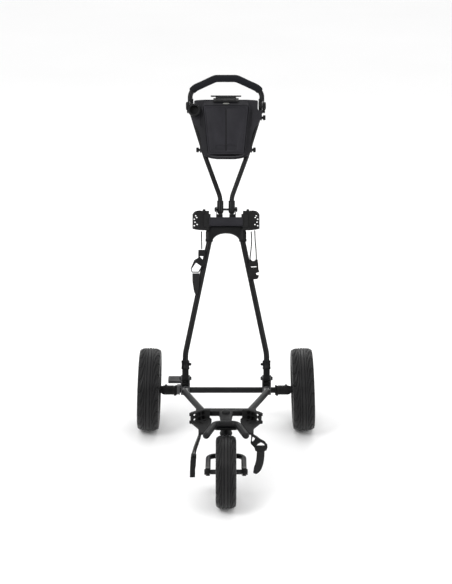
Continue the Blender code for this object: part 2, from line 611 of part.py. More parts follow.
# ---- console ------------------------------------------------------------------------------------
flank = [
    (0.030, 0.7440), (0.055, 0.7480), (0.070, 0.7550), (0.0765, 0.7620), (0.0880, 0.8190),
    (0.0960, 0.8450), (0.1040, 0.8610), (0.1120, 0.8670), (0.1250, 0.9080), (0.1240, 0.9125),
    (0.1095, 0.9130), (0.1085, 0.9400), (0.1040, 0.9455), (0.0700, 0.9480),
]
tray = [
    (0.030, 0.7490), (0.050, 0.7520), (0.060, 0.7570), (0.0645, 0.7630), (0.0690, 0.8100),
    (0.0720, 0.8450), (0.0738, 0.8600), (0.0748, 0.8690), (0.0790, 0.9030), (0.0798, 0.9080),
    (0.0800, 0.9120), (0.0800, 0.9180), (0.0780, 0.9245), (0.0650, 0.9260),
]
inner = [
    (0.030, 0.7516), (0.049, 0.7545), (0.0580, 0.7590), (0.0620, 0.7640), (0.0665, 0.8100),
    (0.0695, 0.8450), (0.0713, 0.8600), (0.0723, 0.8690), (0.0765, 0.9030), (0.0773, 0.9080),
    (0.0775, 0.9120), (0.0775, 0.9165), (0.0755, 0.9215), (0.0640, 0.9228),
]
CONSOLE_BACK, CONSOLE_STEP, CONSOLE_RIM, CONSOLE_FLOOR = 0.0092, 0.0180, 0.0405, 0.0125


def both_sides(half):
    return half + [(-a, b) for a, b in half[::-1]]


def ring_at(outline, out, rise=0.0):
    """An outline lifted out of the mast plane, its slanted top corners raised by rise."""
    return [on_mast(a, b + (rise if b > 0.9235 else 0.0), out) for a, b in both_sides(outline)]


levels = [
    ring_at(flank, CONSOLE_BACK), ring_at(flank, CONSOLE_STEP), ring_at(tray, CONSOLE_STEP, 0.0200),
    ring_at(tray, CONSOLE_RIM), ring_at(inner, CONSOLE_RIM), ring_at(inner, CONSOLE_FLOOR),
]
tray_node = node("console_tray", loft(levels), CONSOLE_GREY, fold_pivot)

LID_AXIS_UP, LID_AXIS_OUT = 0.9195, 0.0431
lid_pivot = on_mast(0, LID_AXIS_UP, LID_AXIS_OUT)
outline = [(-0.0560, 0.7560), (0.0560, 0.7560), (0.0605, 0.7600), (0.0650, 0.8100), (0.0755, 0.9120),
           (0.0755, 0.9210), (-0.0755, 0.9210), (-0.0755, 0.9120), (-0.0650, 0.8100), (-0.0605, 0.7600)]
lid = node("console_lid", prism(outline, 0.0409, 0.0449, X, ALONG, at(0, 0, PIVOT_Z)), CONSOLE_GREY, lid_pivot)
cut(lid, block(on_mast(0, 0.8350, 0.0449), (0.0016, 0.1400, 0.0024), X, ALONG), "groove")
recess = both_sides([(0.030, 0.7740), (0.0355, 0.7765), (0.0365, 0.7835), (0.0330, 0.7870)])
cut(lid, prism(recess, 0.0429, 0.0480, X, ALONG, at(0, 0, PIVOT_Z)), "finger_recess")
soften(lid, 0.0012, 1, 50)

# slanted top of the console: directions down along it and square out of it
SLANT = (FACE * 0.740 - ALONG * 0.672).normalized()
SLANT_OUT = (FACE * 0.672 + ALONG * 0.740).normalized()
badge_middle = on_mast(0, 0.9297, 0.0360) + SLANT_OUT * 0.0006
badge = [(0.0115 * math.cos(math.tau * k / 18), 0.0040 * math.sin(math.tau * k / 18)) for k in range(18)]
node("badge", prism(badge, 0.0, 0.0014, X, -SLANT, badge_middle), BADGE_GREY, badge_middle)

# sprung plate that holds a score card, on a pin between two ears
clip_pivot = on_mast(0, 0.9570, 0.0122)
outline = [(-0.0340, 0.9484), (0.0340, 0.9484), (0.0340, 0.9600), (0.0305, 0.9600), (0.0305, 0.9518),
           (-0.0305, 0.9518), (-0.0305, 0.9600), (-0.0340, 0.9600)]
ears = node("clip_mount", prism(outline, 0.0095, 0.0150, X, ALONG, at(0, 0, PIVOT_Z)), PLASTIC_BLACK, fold_pivot)
join(ears, rod(0.0014, -0.0355, 0.0355, clip_pivot, X, 10), "pin")
outline = arc(0, 0, 0.0030, -24, -156, 6) + [(-0.0095, -0.0011), (-0.0095, 0.0013)]
outline += arc(0, 0, 0.0030, -204, -336, 6) + [(0.0290, 0.0013), (0.0290, -0.0011)]
clip = node("scorecard_clip", prism(outline, -0.052, 0.052, SLANT, SLANT_OUT, clip_pivot), PLASTIC_BLACK,
            clip_pivot)
for side, s in SIDES:
    cut(clip, block(clip_pivot + X * (s * 0.0452) + SLANT * 0.0002, (0.0300, 0.012, 0.0124), X, SLANT_OUT),
        f"notch_{side}")
    cut(clip, block(clip_pivot + X * (s * 0.0555) + SLANT * 0.0200, (0.0250, 0.012, 0.0400), X, SLANT_OUT),
        f"corner_{side}")
cut(clip, rod(0.0017, -0.06, 0.06, clip_pivot, X, 10), "pin_hole")

# round holder for an umbrella shaft on the left flank
profile = [
    (0.0184, 0), (0.0184, 0.0160), (0.0230, 0.0190), (0.0300, 0.0210), (0.0430, 0.0210),
    (0.0445, 0.0197), (0.0445, 0.0150), (0.0250, 0.0150), (0.0250, 0),
]
node("umbrella_holder", turned(profile, on_mast(-0.1080, 0.9085), FACE, 20), PLASTIC_BLACK, fold_pivot)


def clamp(name, x, up):
    """Clamp of the console round a handle tube, and the thumb knob that tightens it."""
    middle = on_mast(x, up, -0.0005)
    join(tray_node, block(middle, (0.0230, 0.0150, 0.0225), X, ALONG), f"clamp_{name}")
    way = (on_mast(math.copysign(TILT_X, x), UP_TILT) - on_mast(math.copysign(0.071, x), mast_up(0.871)))
    cut(tray_node, rod(0.0083, -0.04, 0.04, on_mast(x, up), way, 16), f"bore_{name}")
    out = Vector((math.copysign(1.0, x), 0, 0))
    knob_foot = on_mast(x, up, -0.0015) + out * 0.0118
    profile = [
        (0, 0), (0, 0.0045), (0.0030, 0.0045), (0.0030, 0.0075), (0.0042, 0.0088), (0.0108, 0.0088),
        (0.0122, 0.0072), (0.0122, 0),
    ]
    node(f"clamp_knob_{name}", turned(profile, knob_foot, out, 14), PLASTIC_BLACK, knob_foot)


clamp("lower_left", -0.0777, 0.7780)
clamp("lower_right", 0.0777, 0.7780)
clamp("upper_right", 0.1113, 0.8890)

# ---- straps -------------------------------------------------------------------------------------


def ribbon(points, wide, width, thick):
    """Flat webbing along a path, its width kept along one direction."""
    path = [Vector(point) for point in points]
    rings = []
    for k, point in enumerate(path):
        way = (path[min(k + 1, len(path) - 1)] - path[max(k - 1, 0)]).normalized()
        across = (wide - way * wide.dot(way)).normalized()
        out = way.cross(across)
        a, b = across * (width / 2), out * (thick / 2)
        rings.append([point - a - b, point + a - b, point + a + b, point - a + b])
    return rings


def smooth_path(points, count):
    """Evenly spaced points of a Catmull-Rom curve through the given ones."""
    padded = [points[0] * 2 - points[1]] + points + [points[-1] * 2 - points[-2]]
    dense = []
    for k in range(1, len(padded) - 2):
        a, b, c, d = padded[k - 1:k + 3]
        for j in range(20):
            t = j / 20
            dense.append(0.5 * ((2 * b) + (c - a) * t + (2 * a - 5 * b + 4 * c - d) * t * t
                                + (3 * b - a - 3 * c + d) * t ** 3))
    dense.append(points[-1])
    reach = [0.0]
    for a, b in zip(dense, dense[1:]):
        reach.append(reach[-1] + (b - a).length)
    out = []
    for k in range(count):
        goal = reach[-1] * k / (count - 1)
        j = min(max(i for i, r in enumerate(reach) if r <= goal + 1e-12), len(dense) - 2)
        share = (goal - reach[j]) / max(reach[j + 1] - reach[j], 1e-12)
        out.append(dense[j].lerp(dense[j + 1], share))
    return out


def cord(name, points, count, radius):
    curve = bpy.data.curves.new(name, "CURVE")
    curve.dimensions = "3D"
    curve.bevel_depth = radius
    curve.bevel_resolution = 2
    curve.use_fill_caps = True
    curve.resolution_u = 1
    curve.render_resolution_u = 0
    line = curve.splines.new("POLY")
    line.points.add(count - 1)
    for spot, point in zip(line.points, smooth_path(points, count)):
        spot.co = (*point, 1.0)
    made = bpy.data.objects.new(name, curve)
    made.data.materials.append(CORD_BLACK)
    bpy.context.scene.collection.objects.link(made)
    return made


CORD_R = 0.0022
WEB_W, WEB_T = 0.024, 0.0016

# upper left: elastic cord, two-bar buckle with its ring, and the webbing tail in the ring
cord("upper_cord_left", [at(-0.0830, -0.1720, 0.6450), at(-0.0825, -0.1705, 0.6150), at(-0.0820, -0.1655, 0.5850)],
     7, CORD_R)
top, foot = at(-0.0820, -0.1645, 0.5822), at(-0.0835, -0.1355, 0.5195)
way = (foot - top).normalized()
across = (X - way * X.dot(way)).normalized()
outline = [(-0.0118, 0.0), (0.0132, 0.0), (0.0132, -0.0560), (0.0030, -0.0560), (-0.0075, -0.0785),
           (-0.0330, -0.0785), (-0.0365, -0.0650), (-0.0245, -0.0350), (-0.0110, -0.0270), (-0.0118, -0.0200)]
buckle = node("upper_buckle_left", prism(outline, -0.0025, 0.0025, across, -way, top), PLASTIC_BLACK, mast_pivot)
gap = [(-0.0070, -0.0215), (0.0085, -0.0215), (0.0085, -0.0330), (0.0040, -0.0340)]
ring = [(-0.0185, -0.0440), (-0.0005, -0.0560), (-0.0100, -0.0745), (-0.0305, -0.0745), (-0.0325, -0.0650)]
for name, hole in (("gap", gap), ("ring", ring)):
    cut(buckle, prism(hole, -0.01, 0.01, across, -way, top), name)
soften(buckle, 0.0008, 1, 50)
tail = [at(-0.1020, -0.1310, 0.5098), at(-0.1018, -0.1210, 0.4880), at(-0.1010, -0.1110, 0.4650),
        at(-0.0998, -0.1030, 0.4455)]
node("upper_webbing_left", loft(ribbon(smooth_path(tail, 9), X, WEB_W, WEB_T)), WEB_BLACK, mast_pivot)

# upper right: cord loop and its hook
turn_middle = at(0.0920, -0.1498, 0.5565)
down = (at(0.0950, -0.1180, 0.4930) - at(0.0925, -0.1425, 0.5440)).normalized()
loop_points = [at(0.0850, -0.1720, 0.6450), at(0.0868, -0.1668, 0.6170), at(0.0845, -0.1580, 0.5860)]
for angle in (180, 225, 270, 315, 360):
    spoke = math.radians(angle)
    loop_points.append(turn_middle + X * (0.0105 * math.cos(spoke)) - down * (0.0105 * math.sin(spoke)))
loop_points += [at(0.1012, -0.1585, 0.5880), at(0.0985, -0.1660, 0.6180), at(0.0970, -0.1680, 0.6500)]
cord("upper_cord_right", loop_points, 28, CORD_R)
top, foot = at(0.0925, -0.1425, 0.5440), at(0.0950, -0.1180, 0.4930)
way = (foot - top).normalized()
across = (X - way * X.dot(way)).normalized()
middle = (top + foot) / 2
hook = node("upper_hook_right", block(middle, (0.0330, (foot - top).length, 0.0065), across, -way),
            PLASTIC_BLACK, mast_pivot)
cut(hook, block(middle - way * 0.0140 + across * 0.001, (0.0220, 0.0110, 0.02), across, -way), "eye")
cut(hook, block(middle + way * 0.0120 + across * 0.0080, (0.0230, 0.0110, 0.02), across, -way), "mouth")
soften(hook, 0.0015, 1, 50)

# lower left: webbing seen edge on, and its buckle
drop = [at(-0.0790, 0.5400, 0.2255), at(-0.0830, 0.5400, 0.2120), at(-0.0930, 0.5400, 0.1820),
        at(-0.1000, 0.5400, 0.1560)]
node("lower_webbing_left", loft(ribbon(smooth_path(drop, 10), AHEAD, WEB_W, WEB_T)), WEB_BLACK)
buckle = node("lower_buckle_left", block(at(-0.1010, 0.5400, 0.1190), (0.0200, 0.0680, 0.0300)), PLASTIC_BLACK)
cut(buckle, block(at(-0.1010, 0.5400, 0.1400), (0.05, 0.0120, 0.0200)), "slot_0")
cut(buckle, block(at(-0.1010, 0.5400, 0.0980), (0.05, 0.0120, 0.0200)), "slot_1")
soften(buckle, 0.0025, 1, 50)

# lower right: three-bar slide and the webbing tail below it
outline = [(0.0740, 0.2250), (0.0900, 0.2250), (0.1230, 0.1960), (0.1160, 0.1760), (0.0900, 0.1760)]
slide = node("lower_slide_right", prism(outline, -0.0035, 0.0035, X, UP, at(0, 0.5440, 0)), PLASTIC_BLACK)
outline = [(0.0860, 0.2170), (0.0900, 0.2170), (0.1100, 0.2000), (0.0960, 0.1950)]
cut(slide, prism(outline, -0.01, 0.01, X, UP, at(0, 0.5440, 0)), "eye")
cut(slide, block(at(0.1035, 0.5440, 0.1855), (0.0180, 0.0060, 0.02)), "bar_slot")
soften(slide, 0.0012, 1, 50)
tail = [at(0.1040, 0.5440, 0.1735), at(0.1048, 0.5450, 0.1600), at(0.1030, 0.5480, 0.1350),
        at(0.0960, 0.5470, 0.1100), at(0.0890, 0.5440, 0.0940)]
node("lower_webbing_right", loft(ribbon(smooth_path(tail, 12), X, WEB_W, WEB_T)), WEB_BLACK)
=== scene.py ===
"""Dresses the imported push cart: detailed pieces, their materials, the light and the camera."""
import json
import math

import bmesh
import bpy
from mathutils import Matrix, Vector


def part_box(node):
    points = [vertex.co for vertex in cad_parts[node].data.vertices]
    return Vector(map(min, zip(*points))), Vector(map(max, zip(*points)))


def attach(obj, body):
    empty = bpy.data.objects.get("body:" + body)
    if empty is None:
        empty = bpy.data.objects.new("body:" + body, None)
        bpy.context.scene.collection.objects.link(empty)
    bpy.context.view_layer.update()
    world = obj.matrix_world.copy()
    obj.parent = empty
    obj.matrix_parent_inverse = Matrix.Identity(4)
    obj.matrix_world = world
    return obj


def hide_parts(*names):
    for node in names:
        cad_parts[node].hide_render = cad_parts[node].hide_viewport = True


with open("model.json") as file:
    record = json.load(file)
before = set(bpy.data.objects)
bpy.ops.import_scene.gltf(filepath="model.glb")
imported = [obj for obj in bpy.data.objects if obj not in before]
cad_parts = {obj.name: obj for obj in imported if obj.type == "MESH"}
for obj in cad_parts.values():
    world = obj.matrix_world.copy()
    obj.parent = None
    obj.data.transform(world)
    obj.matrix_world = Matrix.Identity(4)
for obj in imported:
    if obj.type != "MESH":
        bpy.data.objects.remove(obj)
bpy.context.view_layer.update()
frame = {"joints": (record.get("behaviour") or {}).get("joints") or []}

JOINTS = {joint["name"]: joint for joint in frame["joints"]}
SIDES = (("left", -1.0), ("right", 1.0))
X = Vector((1, 0, 0))
UP = Vector((0, 0, 1))
AHEAD = Vector((0, -1, 0))

# ---- driving places, taken from the frame -------------------------------------------------------


def middle_of(*names):
    """Middle of the box round some CAD nodes."""
    lows, highs = zip(*(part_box(name) for name in names))
    low = Vector([min(corner[k] for corner in lows) for k in range(3)])
    high = Vector([max(corner[k] for corner in highs) for k in range(3)])
    return (low + high) / 2


def joint_at(name):
    return Vector(JOINTS[name]["pos_m"])


AXLE = middle_of("axle_bar")
AXLE_Y, AXLE_Z = AXLE.y, AXLE.z
MAST_PIVOT, FOLD_PIVOT, TILT_PIVOT = joint_at("mast_fold"), joint_at("handle_fold"), joint_at("handle_tilt")
PIVOT_Z = MAST_PIVOT.z
ALONG = (TILT_PIVOT - MAST_PIVOT).normalized()             # up the leaning mast
FACE = Vector((0.0, -ALONG.z, ALONG.y))                    # out of its front
UP_FOLD = (FOLD_PIVOT - MAST_PIVOT).length
UP_TILT = (TILT_PIVOT - MAST_PIVOT).length
BRACKET_X = middle_of("hinge_bracket_right").x
SWIVEL_FORWARD = AXLE_Y - joint_at("fork_swivel").y
FRONT_AXLE = joint_at("front_wheel_spin")
REAR_WIDTH, FRONT_WIDTH = 0.074, 0.064
BAR_R, MAST_R, HANDLE_R, LOOP_R, GRIP_R = 0.010, 0.0095, 0.008, 0.0085, 0.0125
TILT_X = 0.124
UP_BRACKET = (0.604 - PIVOT_Z) / ALONG.z                   # foot of the arched bracket
UP_BAR = UP_BRACKET + 0.0507
CORD_R = 0.0022
BRAID_STEP, BRAID_PITCH, BRAID_DEPTH = 0.0006, 0.0075, 0.0001
WEB_W, WEB_T = 0.024, 0.0016


def at(x, forward, z):
    """A point by its distance ahead of the rear axle."""
    return Vector((x, AXLE_Y - forward, z))


def on_mast(x, up, out=0.0):
    """A point on the leaning mast plane: up the mast from its pivot, out of its front face."""
    return at(x, 0.0, PIVOT_Z) + ALONG * up + FACE * out


def mast_up(z):
    return (z - PIVOT_Z) / ALONG.z


MAST_FOOT = at(0, 0, PIVOT_Z)

# ---- camera and light ---------------------------------------------------------------------------


def aimed(data, name, spot, target):
    made = bpy.data.objects.new(name, data)
    made.location = spot
    made.rotation_euler = (Vector(target) - Vector(spot)).to_track_quat("-Z", "Y").to_euler()
    bpy.context.scene.collection.objects.link(made)
    return made


lens = bpy.data.cameras.new("camera")
lens.lens = 98.32
lens.sensor_width = 36
VIEW_AIM = Vector((0.0, 0.2385, 0.4492))
VIEW_DISTANCE = 5.4
VIEW_ELEVATION = math.radians(20)
view_way = Vector((0, -math.cos(VIEW_ELEVATION), math.sin(VIEW_ELEVATION)))
bpy.context.scene.camera = aimed(lens, "camera", VIEW_AIM + view_way * VIEW_DISTANCE, VIEW_AIM)


def soft_box(name, spot, width, power):
    light = bpy.data.lights.new(name, "AREA")
    light.size = width
    light.energy = power
    return aimed(light, name, spot, (0, 0.1, 0.45))


soft_box("key", (-2.2, -2.6, 3.4), 1.6, 80)
soft_box("fill", (2.8, -2.0, 1.9), 1.8, 36)
soft_box("back", (0.6, 3.2, 2.8), 2.0, 32)
sky = bpy.data.lights.new("sky", "SUN")
sky.energy = 0.70
sky.angle = 1.5
aimed(sky, "sky", (0.0, -0.6, 4.0), (0.0, 0.0, 0.0))
bpy.context.scene.view_settings.view_transform = "Standard"


def start_material(name, roughness, metallic=0.0):
    made = bpy.data.materials.new(name)
    made.use_nodes = True
    shader = made.node_tree.nodes["Principled BSDF"]
    shader.inputs["Roughness"].default_value = roughness
    shader.inputs["Metallic"].default_value = metallic
    shader.inputs["Specular IOR Level"].default_value = 0.14
    return made, made.node_tree, shader


def add(tree, kind, **values):
    """A shader node, each named input set to a value or linked to a socket."""
    made = tree.nodes.new("ShaderNode" + kind)
    for key, value in values.items():
        socket = made.inputs[key.replace("_", " ")]
        if isinstance(value, bpy.types.NodeSocket):
            tree.links.new(value, socket)
        else:
            socket.default_value = value
    return made


def math_node(tree, operation, first, second=0.0):
    made = tree.nodes.new("ShaderNodeMath")
    made.operation = operation
    for socket, value in zip(made.inputs, (first, second)):
        if isinstance(value, bpy.types.NodeSocket):
            tree.links.new(value, socket)
        else:
            socket.default_value = value
    return made.outputs[0]


def noise(tree, where, scale, detail=3.0, roughness=0.55):
    made = add(tree, "TexNoise", Vector=where, Scale=scale, Detail=detail, Roughness=roughness)
    return made.outputs["Fac"]


def tones(tree, amount, stops):
    """A colour ramp: pairs of place and colour."""
    ramp = add(tree, "ValToRGB", Fac=amount)
    points = ramp.color_ramp.elements
    while len(points) < len(stops):
        points.new(0.5)
    for point, (place, colour) in zip(points, stops):
        point.position = place
        point.color = (*colour, 1.0)
    return ramp.outputs["Color"]


def spread(tree, amount, low, high, low_from=0.3, high_from=0.7):
    made = add(tree, "MapRange", Value=amount, From_Min=low_from, From_Max=high_from, To_Min=low,
               To_Max=high)
    return made.outputs["Result"]


def bumps(tree, shader, layers):
    """Stack (height, distance, strength) bump layers onto a shader's normal."""
    normal = None
    for height, distance, strength in layers:
        made = add(tree, "Bump", Height=height, Distance=distance, Strength=strength)
        if normal is not None:
            tree.links.new(normal, made.inputs["Normal"])
        normal = made.outputs["Normal"]
    tree.links.new(normal, shader.inputs["Normal"])


def scaled(colour, factor):
    return tuple(min(1.0, part * factor) for part in colour)


def coated(name, colour, rough, blotch, grain, depth, scuffs, pits=False):
    """Paint or moulded plastic: mottled colour, uneven gloss, fine grain and faint scuffs."""
    made, tree, shader = start_material(name, rough)
    where = add(tree, "TexCoord").outputs["Object"]
    mottle = noise(tree, where, blotch, 4.0)
    fine = noise(tree, where, grain, 2.0, 0.6)
    base = tones(tree, mottle, ((0.3, scaled(colour, 0.82)), (0.5, colour), (0.72, scaled(colour, 1.25))))
    stretch = add(tree, "Mapping", Vector=where, Scale=(260.0, 40.0, 90.0), Rotation=(0.5, 0.3, 0.9))
    scratch = noise(tree, stretch.outputs["Vector"], 1.0, 5.0, 0.7)
    amount = spread(tree, scratch, 0.0, scuffs, 0.62, 0.80)
    mixed = add(tree, "MixRGB", Fac=amount, Color1=base, Color2=(*scaled(colour, 2.2), 1.0))
    tree.links.new(mixed.outputs["Color"], shader.inputs["Base Color"])
    uneven = math_node(tree, "ADD", spread(tree, mottle, rough - 0.05, rough + 0.06),
                       math_node(tree, "MULTIPLY", amount, 0.12))
    tree.links.new(uneven, shader.inputs["Roughness"])
    height = fine
    if pits:
        height = add(tree, "TexVoronoi", Vector=where, Scale=grain).outputs["Distance"]
    bumps(tree, shader, ((noise(tree, where, 60.0, 2.0), 0.0004, 0.10), (height, depth, 0.55)))
    return made


def brushed(name, colour, rough, fineness):
    """Bare metal with fine lines, as fine along each axis as its number is large."""
    made, tree, shader = start_material(name, rough, 1.0)
    where = add(tree, "TexCoord").outputs["Object"]
    stretch = add(tree, "Mapping", Vector=where, Scale=fineness)
    lines = noise(tree, stretch.outputs["Vector"], 1.0, 4.0, 0.65)
    stain = noise(tree, where, 45.0, 4.0)
    amount = math_node(tree, "MULTIPLY", lines, stain)
    colours = tones(tree, amount, ((0.12, scaled(colour, 0.55)), (0.26, colour),
                                   (0.45, scaled(colour, 1.35))))
    tree.links.new(colours, shader.inputs["Base Color"])
    tree.links.new(spread(tree, stain, rough - 0.08, rough + 0.14), shader.inputs["Roughness"])
    bumps(tree, shader, ((lines, 0.00005, 0.4),))
    return made


def rubbery(name, colour, rough, grain, depth, dust=(0.06, 0.058, 0.055), dusty=0.25):
    """Rubber or foam: dull, with a cellular skin and a little pale dust."""
    made, tree, shader = start_material(name, rough)
    where = add(tree, "TexCoord").outputs["Object"]
    mottle = noise(tree, where, 22.0, 5.0, 0.6)
    cells = add(tree, "TexVoronoi", Vector=where, Scale=grain).outputs["Distance"]
    base = tones(tree, mottle, ((0.28, scaled(colour, 0.75)), (0.5, colour), (0.74, scaled(colour, 1.3))))
    patch = spread(tree, noise(tree, where, 9.0, 6.0, 0.7), 0.0, dusty, 0.48, 0.75)
    mixed = add(tree, "MixRGB", Fac=patch, Color1=base, Color2=(*dust, 1.0))
    tree.links.new(mixed.outputs["Color"], shader.inputs["Base Color"])
    tree.links.new(spread(tree, mottle, rough - 0.07, rough + 0.07), shader.inputs["Roughness"])
    bumps(tree, shader, ((noise(tree, where, 180.0, 3.0), 0.0002, 0.2), (cells, depth, 0.5)))
    return made


def woven(name, colour, across, along):
    """Webbing: ribs across the strap that step half a rib from one warp thread to the next; painted shade
    makes the rib tops lighter and the hollows darker.
    """
    made, tree, shader = start_material(name, 0.8)
    flat = add(tree, "SeparateXYZ", Vector=add(tree, "TexCoord").outputs["UV"])
    u, v = flat.outputs[0], flat.outputs[1]
    column = math_node(tree, "DIVIDE", u, across)
    step = math_node(tree, "MULTIPLY", math_node(tree, "FLOOR", column), math.pi)
    row = math_node(tree, "MULTIPLY", v, math.tau / along)
    rib = math_node(tree, "SINE", math_node(tree, "ADD", row, step))
    thread = math_node(tree, "ABSOLUTE", math_node(tree, "SINE",
                                                   math_node(tree, "MULTIPLY", column, math.pi)))
    height = math_node(tree, "MULTIPLY", math_node(tree, "ADD", rib, 1.6),
                       math_node(tree, "ADD", thread, 0.4))
    where = add(tree, "TexCoord").outputs["Object"]
    fuzz = noise(tree, where, 1500.0, 3.0, 0.7)
    # painted shade and highlight: the colour follows the rib height, lighter on the rib tops and darker in
    # the hollows, mixed with a random fuzz
    shade = math_node(tree, "ADD", math_node(tree, "MULTIPLY", height, 0.2),
                      math_node(tree, "MULTIPLY", fuzz, 0.4))
    stops = ((0.2, scaled(colour, 0.45)), (0.5, colour), (0.85, scaled(colour, 1.9)))
    tree.links.new(tones(tree, shade, stops), shader.inputs["Base Color"])
    tree.links.new(spread(tree, fuzz, 0.70, 0.92), shader.inputs["Roughness"])
    shader.inputs["Sheen Weight"].default_value = 0.15
    bumps(tree, shader, ((height, 0.00022, 0.8), (fuzz, 0.00008, 0.5)))
    return made


TUBE = coated("satin_tube", (0.0080, 0.0080, 0.0085), rough=0.34, blotch=14.0, grain=900.0,
              depth=0.00005, scuffs=0.25)
BRACKET = coated("satin_bracket", (0.0060, 0.0060, 0.0064), rough=0.44, blotch=20.0, grain=1300.0,
                 depth=0.00006, scuffs=0.3)
PLASTIC = coated("moulded_black", (0.0078, 0.0078, 0.0082), rough=0.50, blotch=24.0, grain=1700.0,
                 depth=0.00009, scuffs=0.3, pits=True)
CONSOLE = coated("moulded_charcoal", (0.0165, 0.0160, 0.0195), rough=0.50, blotch=18.0,
                 grain=1500.0, depth=0.00010, scuffs=0.25, pits=True)
SHELL = coated("moulded_shell", (0.0175, 0.0171, 0.0200), rough=0.54, blotch=18.0, grain=1500.0,
               depth=0.00010, scuffs=0.2, pits=True)
PEDAL = coated("pedal_grey", (0.085, 0.085, 0.088), rough=0.52, blotch=30.0, grain=1200.0,
               depth=0.00008, scuffs=0.5, pits=True)
RUBBER = rubbery("wing_rubber", (0.0115, 0.0115, 0.0118), rough=0.62, grain=900.0, depth=0.00008,
                 dusty=0.06)
FOAM = rubbery("foam_skin", (0.0085, 0.0092, 0.0115), rough=0.88, grain=1100.0, depth=0.00016,
               dusty=0.03)
TYRE = rubbery("tyre_rubber", (0.0135, 0.0135, 0.0140), rough=0.42, grain=1000.0, depth=0.00010,
               dusty=0.20)
EAR = brushed("ear_steel", (0.085, 0.085, 0.088), 0.42, (150.0, 150.0, 1400.0))
STEEL = brushed("bolt_steel", (0.30, 0.30, 0.31), 0.34, (1600.0, 220.0, 220.0))
DARK_STEEL = brushed("bolt_dark", (0.045, 0.045, 0.047), 0.40, (1200.0, 260.0, 260.0))
BADGE = brushed("badge_alloy", (0.34, 0.34, 0.32), 0.40, (200.0, 1500.0, 1500.0))
WEBBING = woven("webbing", (0.0125, 0.0125, 0.0130), across=0.0012, along=0.0017)
CORD_SKIN = woven("cord_braid", (0.0140, 0.0140, 0.0143), across=0.0011, along=0.0019)

# ---- mesh helpers -------------------------------------------------------------------------------


def settle(made, crease):
    """Apply a piece's modifiers and shade it smooth up to the crease angle."""
    scene_state = bpy.context.evaluated_depsgraph_get()
    solid = bpy.data.meshes.new_from_object(made.evaluated_get(scene_state))
    made.modifiers.clear()
    old = made.data
    made.data = solid
    bpy.data.meshes.remove(old)
    solid.name = made.name
    solid.polygons.foreach_set("use_smooth", [True] * len(solid.polygons))
    solid.set_sharp_from_angle(angle=math.radians(crease))


def raw(name, bm):
    """A plain object from a mesh, its faces turned outwards."""
    bmesh.ops.recalc_face_normals(bm, faces=bm.faces)
    if bm.calc_volume(signed=True) < 0:
        bmesh.ops.reverse_faces(bm, faces=bm.faces)
    mesh = bpy.data.meshes.new(name)
    bm.to_mesh(mesh)
    bm.free()
    made = bpy.data.objects.new(name, mesh)
    bpy.context.scene.collection.objects.link(made)
    return made


def piece(name, bm, paint, body, stands_for=(), cuts=(), welds=(), edge=0.0, segments=3, sharp=32.0,
          crease=40.0):
    """A finished piece: welded to and cut by other meshes, its sharp edges rounded, riding on a body."""
    made = raw(name, bm)
    helpers = []
    for operation, meshes in (("UNION", welds), ("DIFFERENCE", cuts)):
        for other in meshes:
            helper = raw("helper", other)
            helpers.append(helper)
            step = made.modifiers.new("step", "BOOLEAN")
            step.operation = operation
            step.solver = "EXACT"
            step.object = helper
    if edge:
        bevel = made.modifiers.new("edges", "BEVEL")
        bevel.width = edge
        bevel.segments = segments
        bevel.limit_method = "ANGLE"
        bevel.angle_limit = math.radians(sharp)
        bevel.use_clamp_overlap = True
        bevel.miter_outer = "MITER_ARC"
    settle(made, crease)
    for helper in helpers:
        bpy.data.objects.remove(helper, do_unlink=True)
    made.data.materials.clear()
    made.data.materials.append(paint)
    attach(made, body)
    if stands_for:
        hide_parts(*stands_for)
    return made


def loft(rings, closed=False, caps=True):
    """Skin a list of rings of equal length; the ends are capped, or joined when closed."""
    bm = bmesh.new()
    rows = [[bm.verts.new(point) for point in ring] for ring in rings]
    count = len(rows[0])
    pairs = list(zip(rows, rows[1:]))
    if closed:
        pairs.append((rows[-1], rows[0]))
    for lower, upper in pairs:
        for i in range(count):
            j = (i + 1) % count
            bm.faces.new((lower[i], lower[j], upper[j], upper[i]))
    if caps and not closed:
        bm.faces.new(rows[0][::-1])
        bm.faces.new(rows[-1])
    return bm


def square_frame(direction, hint=None):
    """Two unit vectors square to a direction."""
    direction = direction.normalized()
    hint = hint or (X if abs(direction.x) < 0.9 else UP)
    side = (hint - direction * hint.dot(direction)).normalized()
    return side, direction.cross(side).normalized()


def rounded(points, radius, steps=10):
    """A path with each inner corner turned into an arc."""
    path = [points[0]]
    for before, corner, after in zip(points, points[1:], points[2:]):
        back = (before - corner).normalized()
        ahead = (after - corner).normalized()
        turn = math.pi - back.angle(ahead)
        reach = radius * math.tan(turn / 2)
        start = corner + back * reach
        centre = corner + (back + ahead).normalized() * (radius / math.cos(turn / 2))
        axis = back.cross(ahead).normalized()
        for k in range(steps + 1):
            path.append(centre + Matrix.Rotation(-turn * k / steps, 3, axis) @ (start - centre))
    path.append(points[-1])
    return path


def sweep_rings(path, radius, sides, start_normal=None, end_normal=None):
    """Circles square to a path, mitred at its corners, turning as little as possible along it."""
    radii = radius if isinstance(radius, list) else [radius] * len(path)
    ways = [(b - a).normalized() for a, b in zip(path, path[1:])]
    side, _ = square_frame(ways[0])
    rings = []
    for k, point in enumerate(path):
        if k == 0:
            way, normal = ways[0], start_normal or ways[0]
        elif k == len(path) - 1:
            way, normal = ways[-1], end_normal or ways[-1]
        else:
            way, normal = ways[k - 1], (ways[k - 1] + ways[k]).normalized()
        side = (side - way * side.dot(way)).normalized()
        other = way.cross(side)
        ring = []
        for i in range(sides):
            turn = math.tau * (i + 0.5) / sides
            spot = point + (side * math.cos(turn) + other * math.sin(turn)) * radii[k]
            ring.append(spot + way * ((point - spot).dot(normal) / way.dot(normal)))
        rings.append(ring)
    return rings


def tube(path, radius, sides=32, start_normal=None, end_normal=None):
    return loft(sweep_rings(path, radius, sides, start_normal, end_normal))


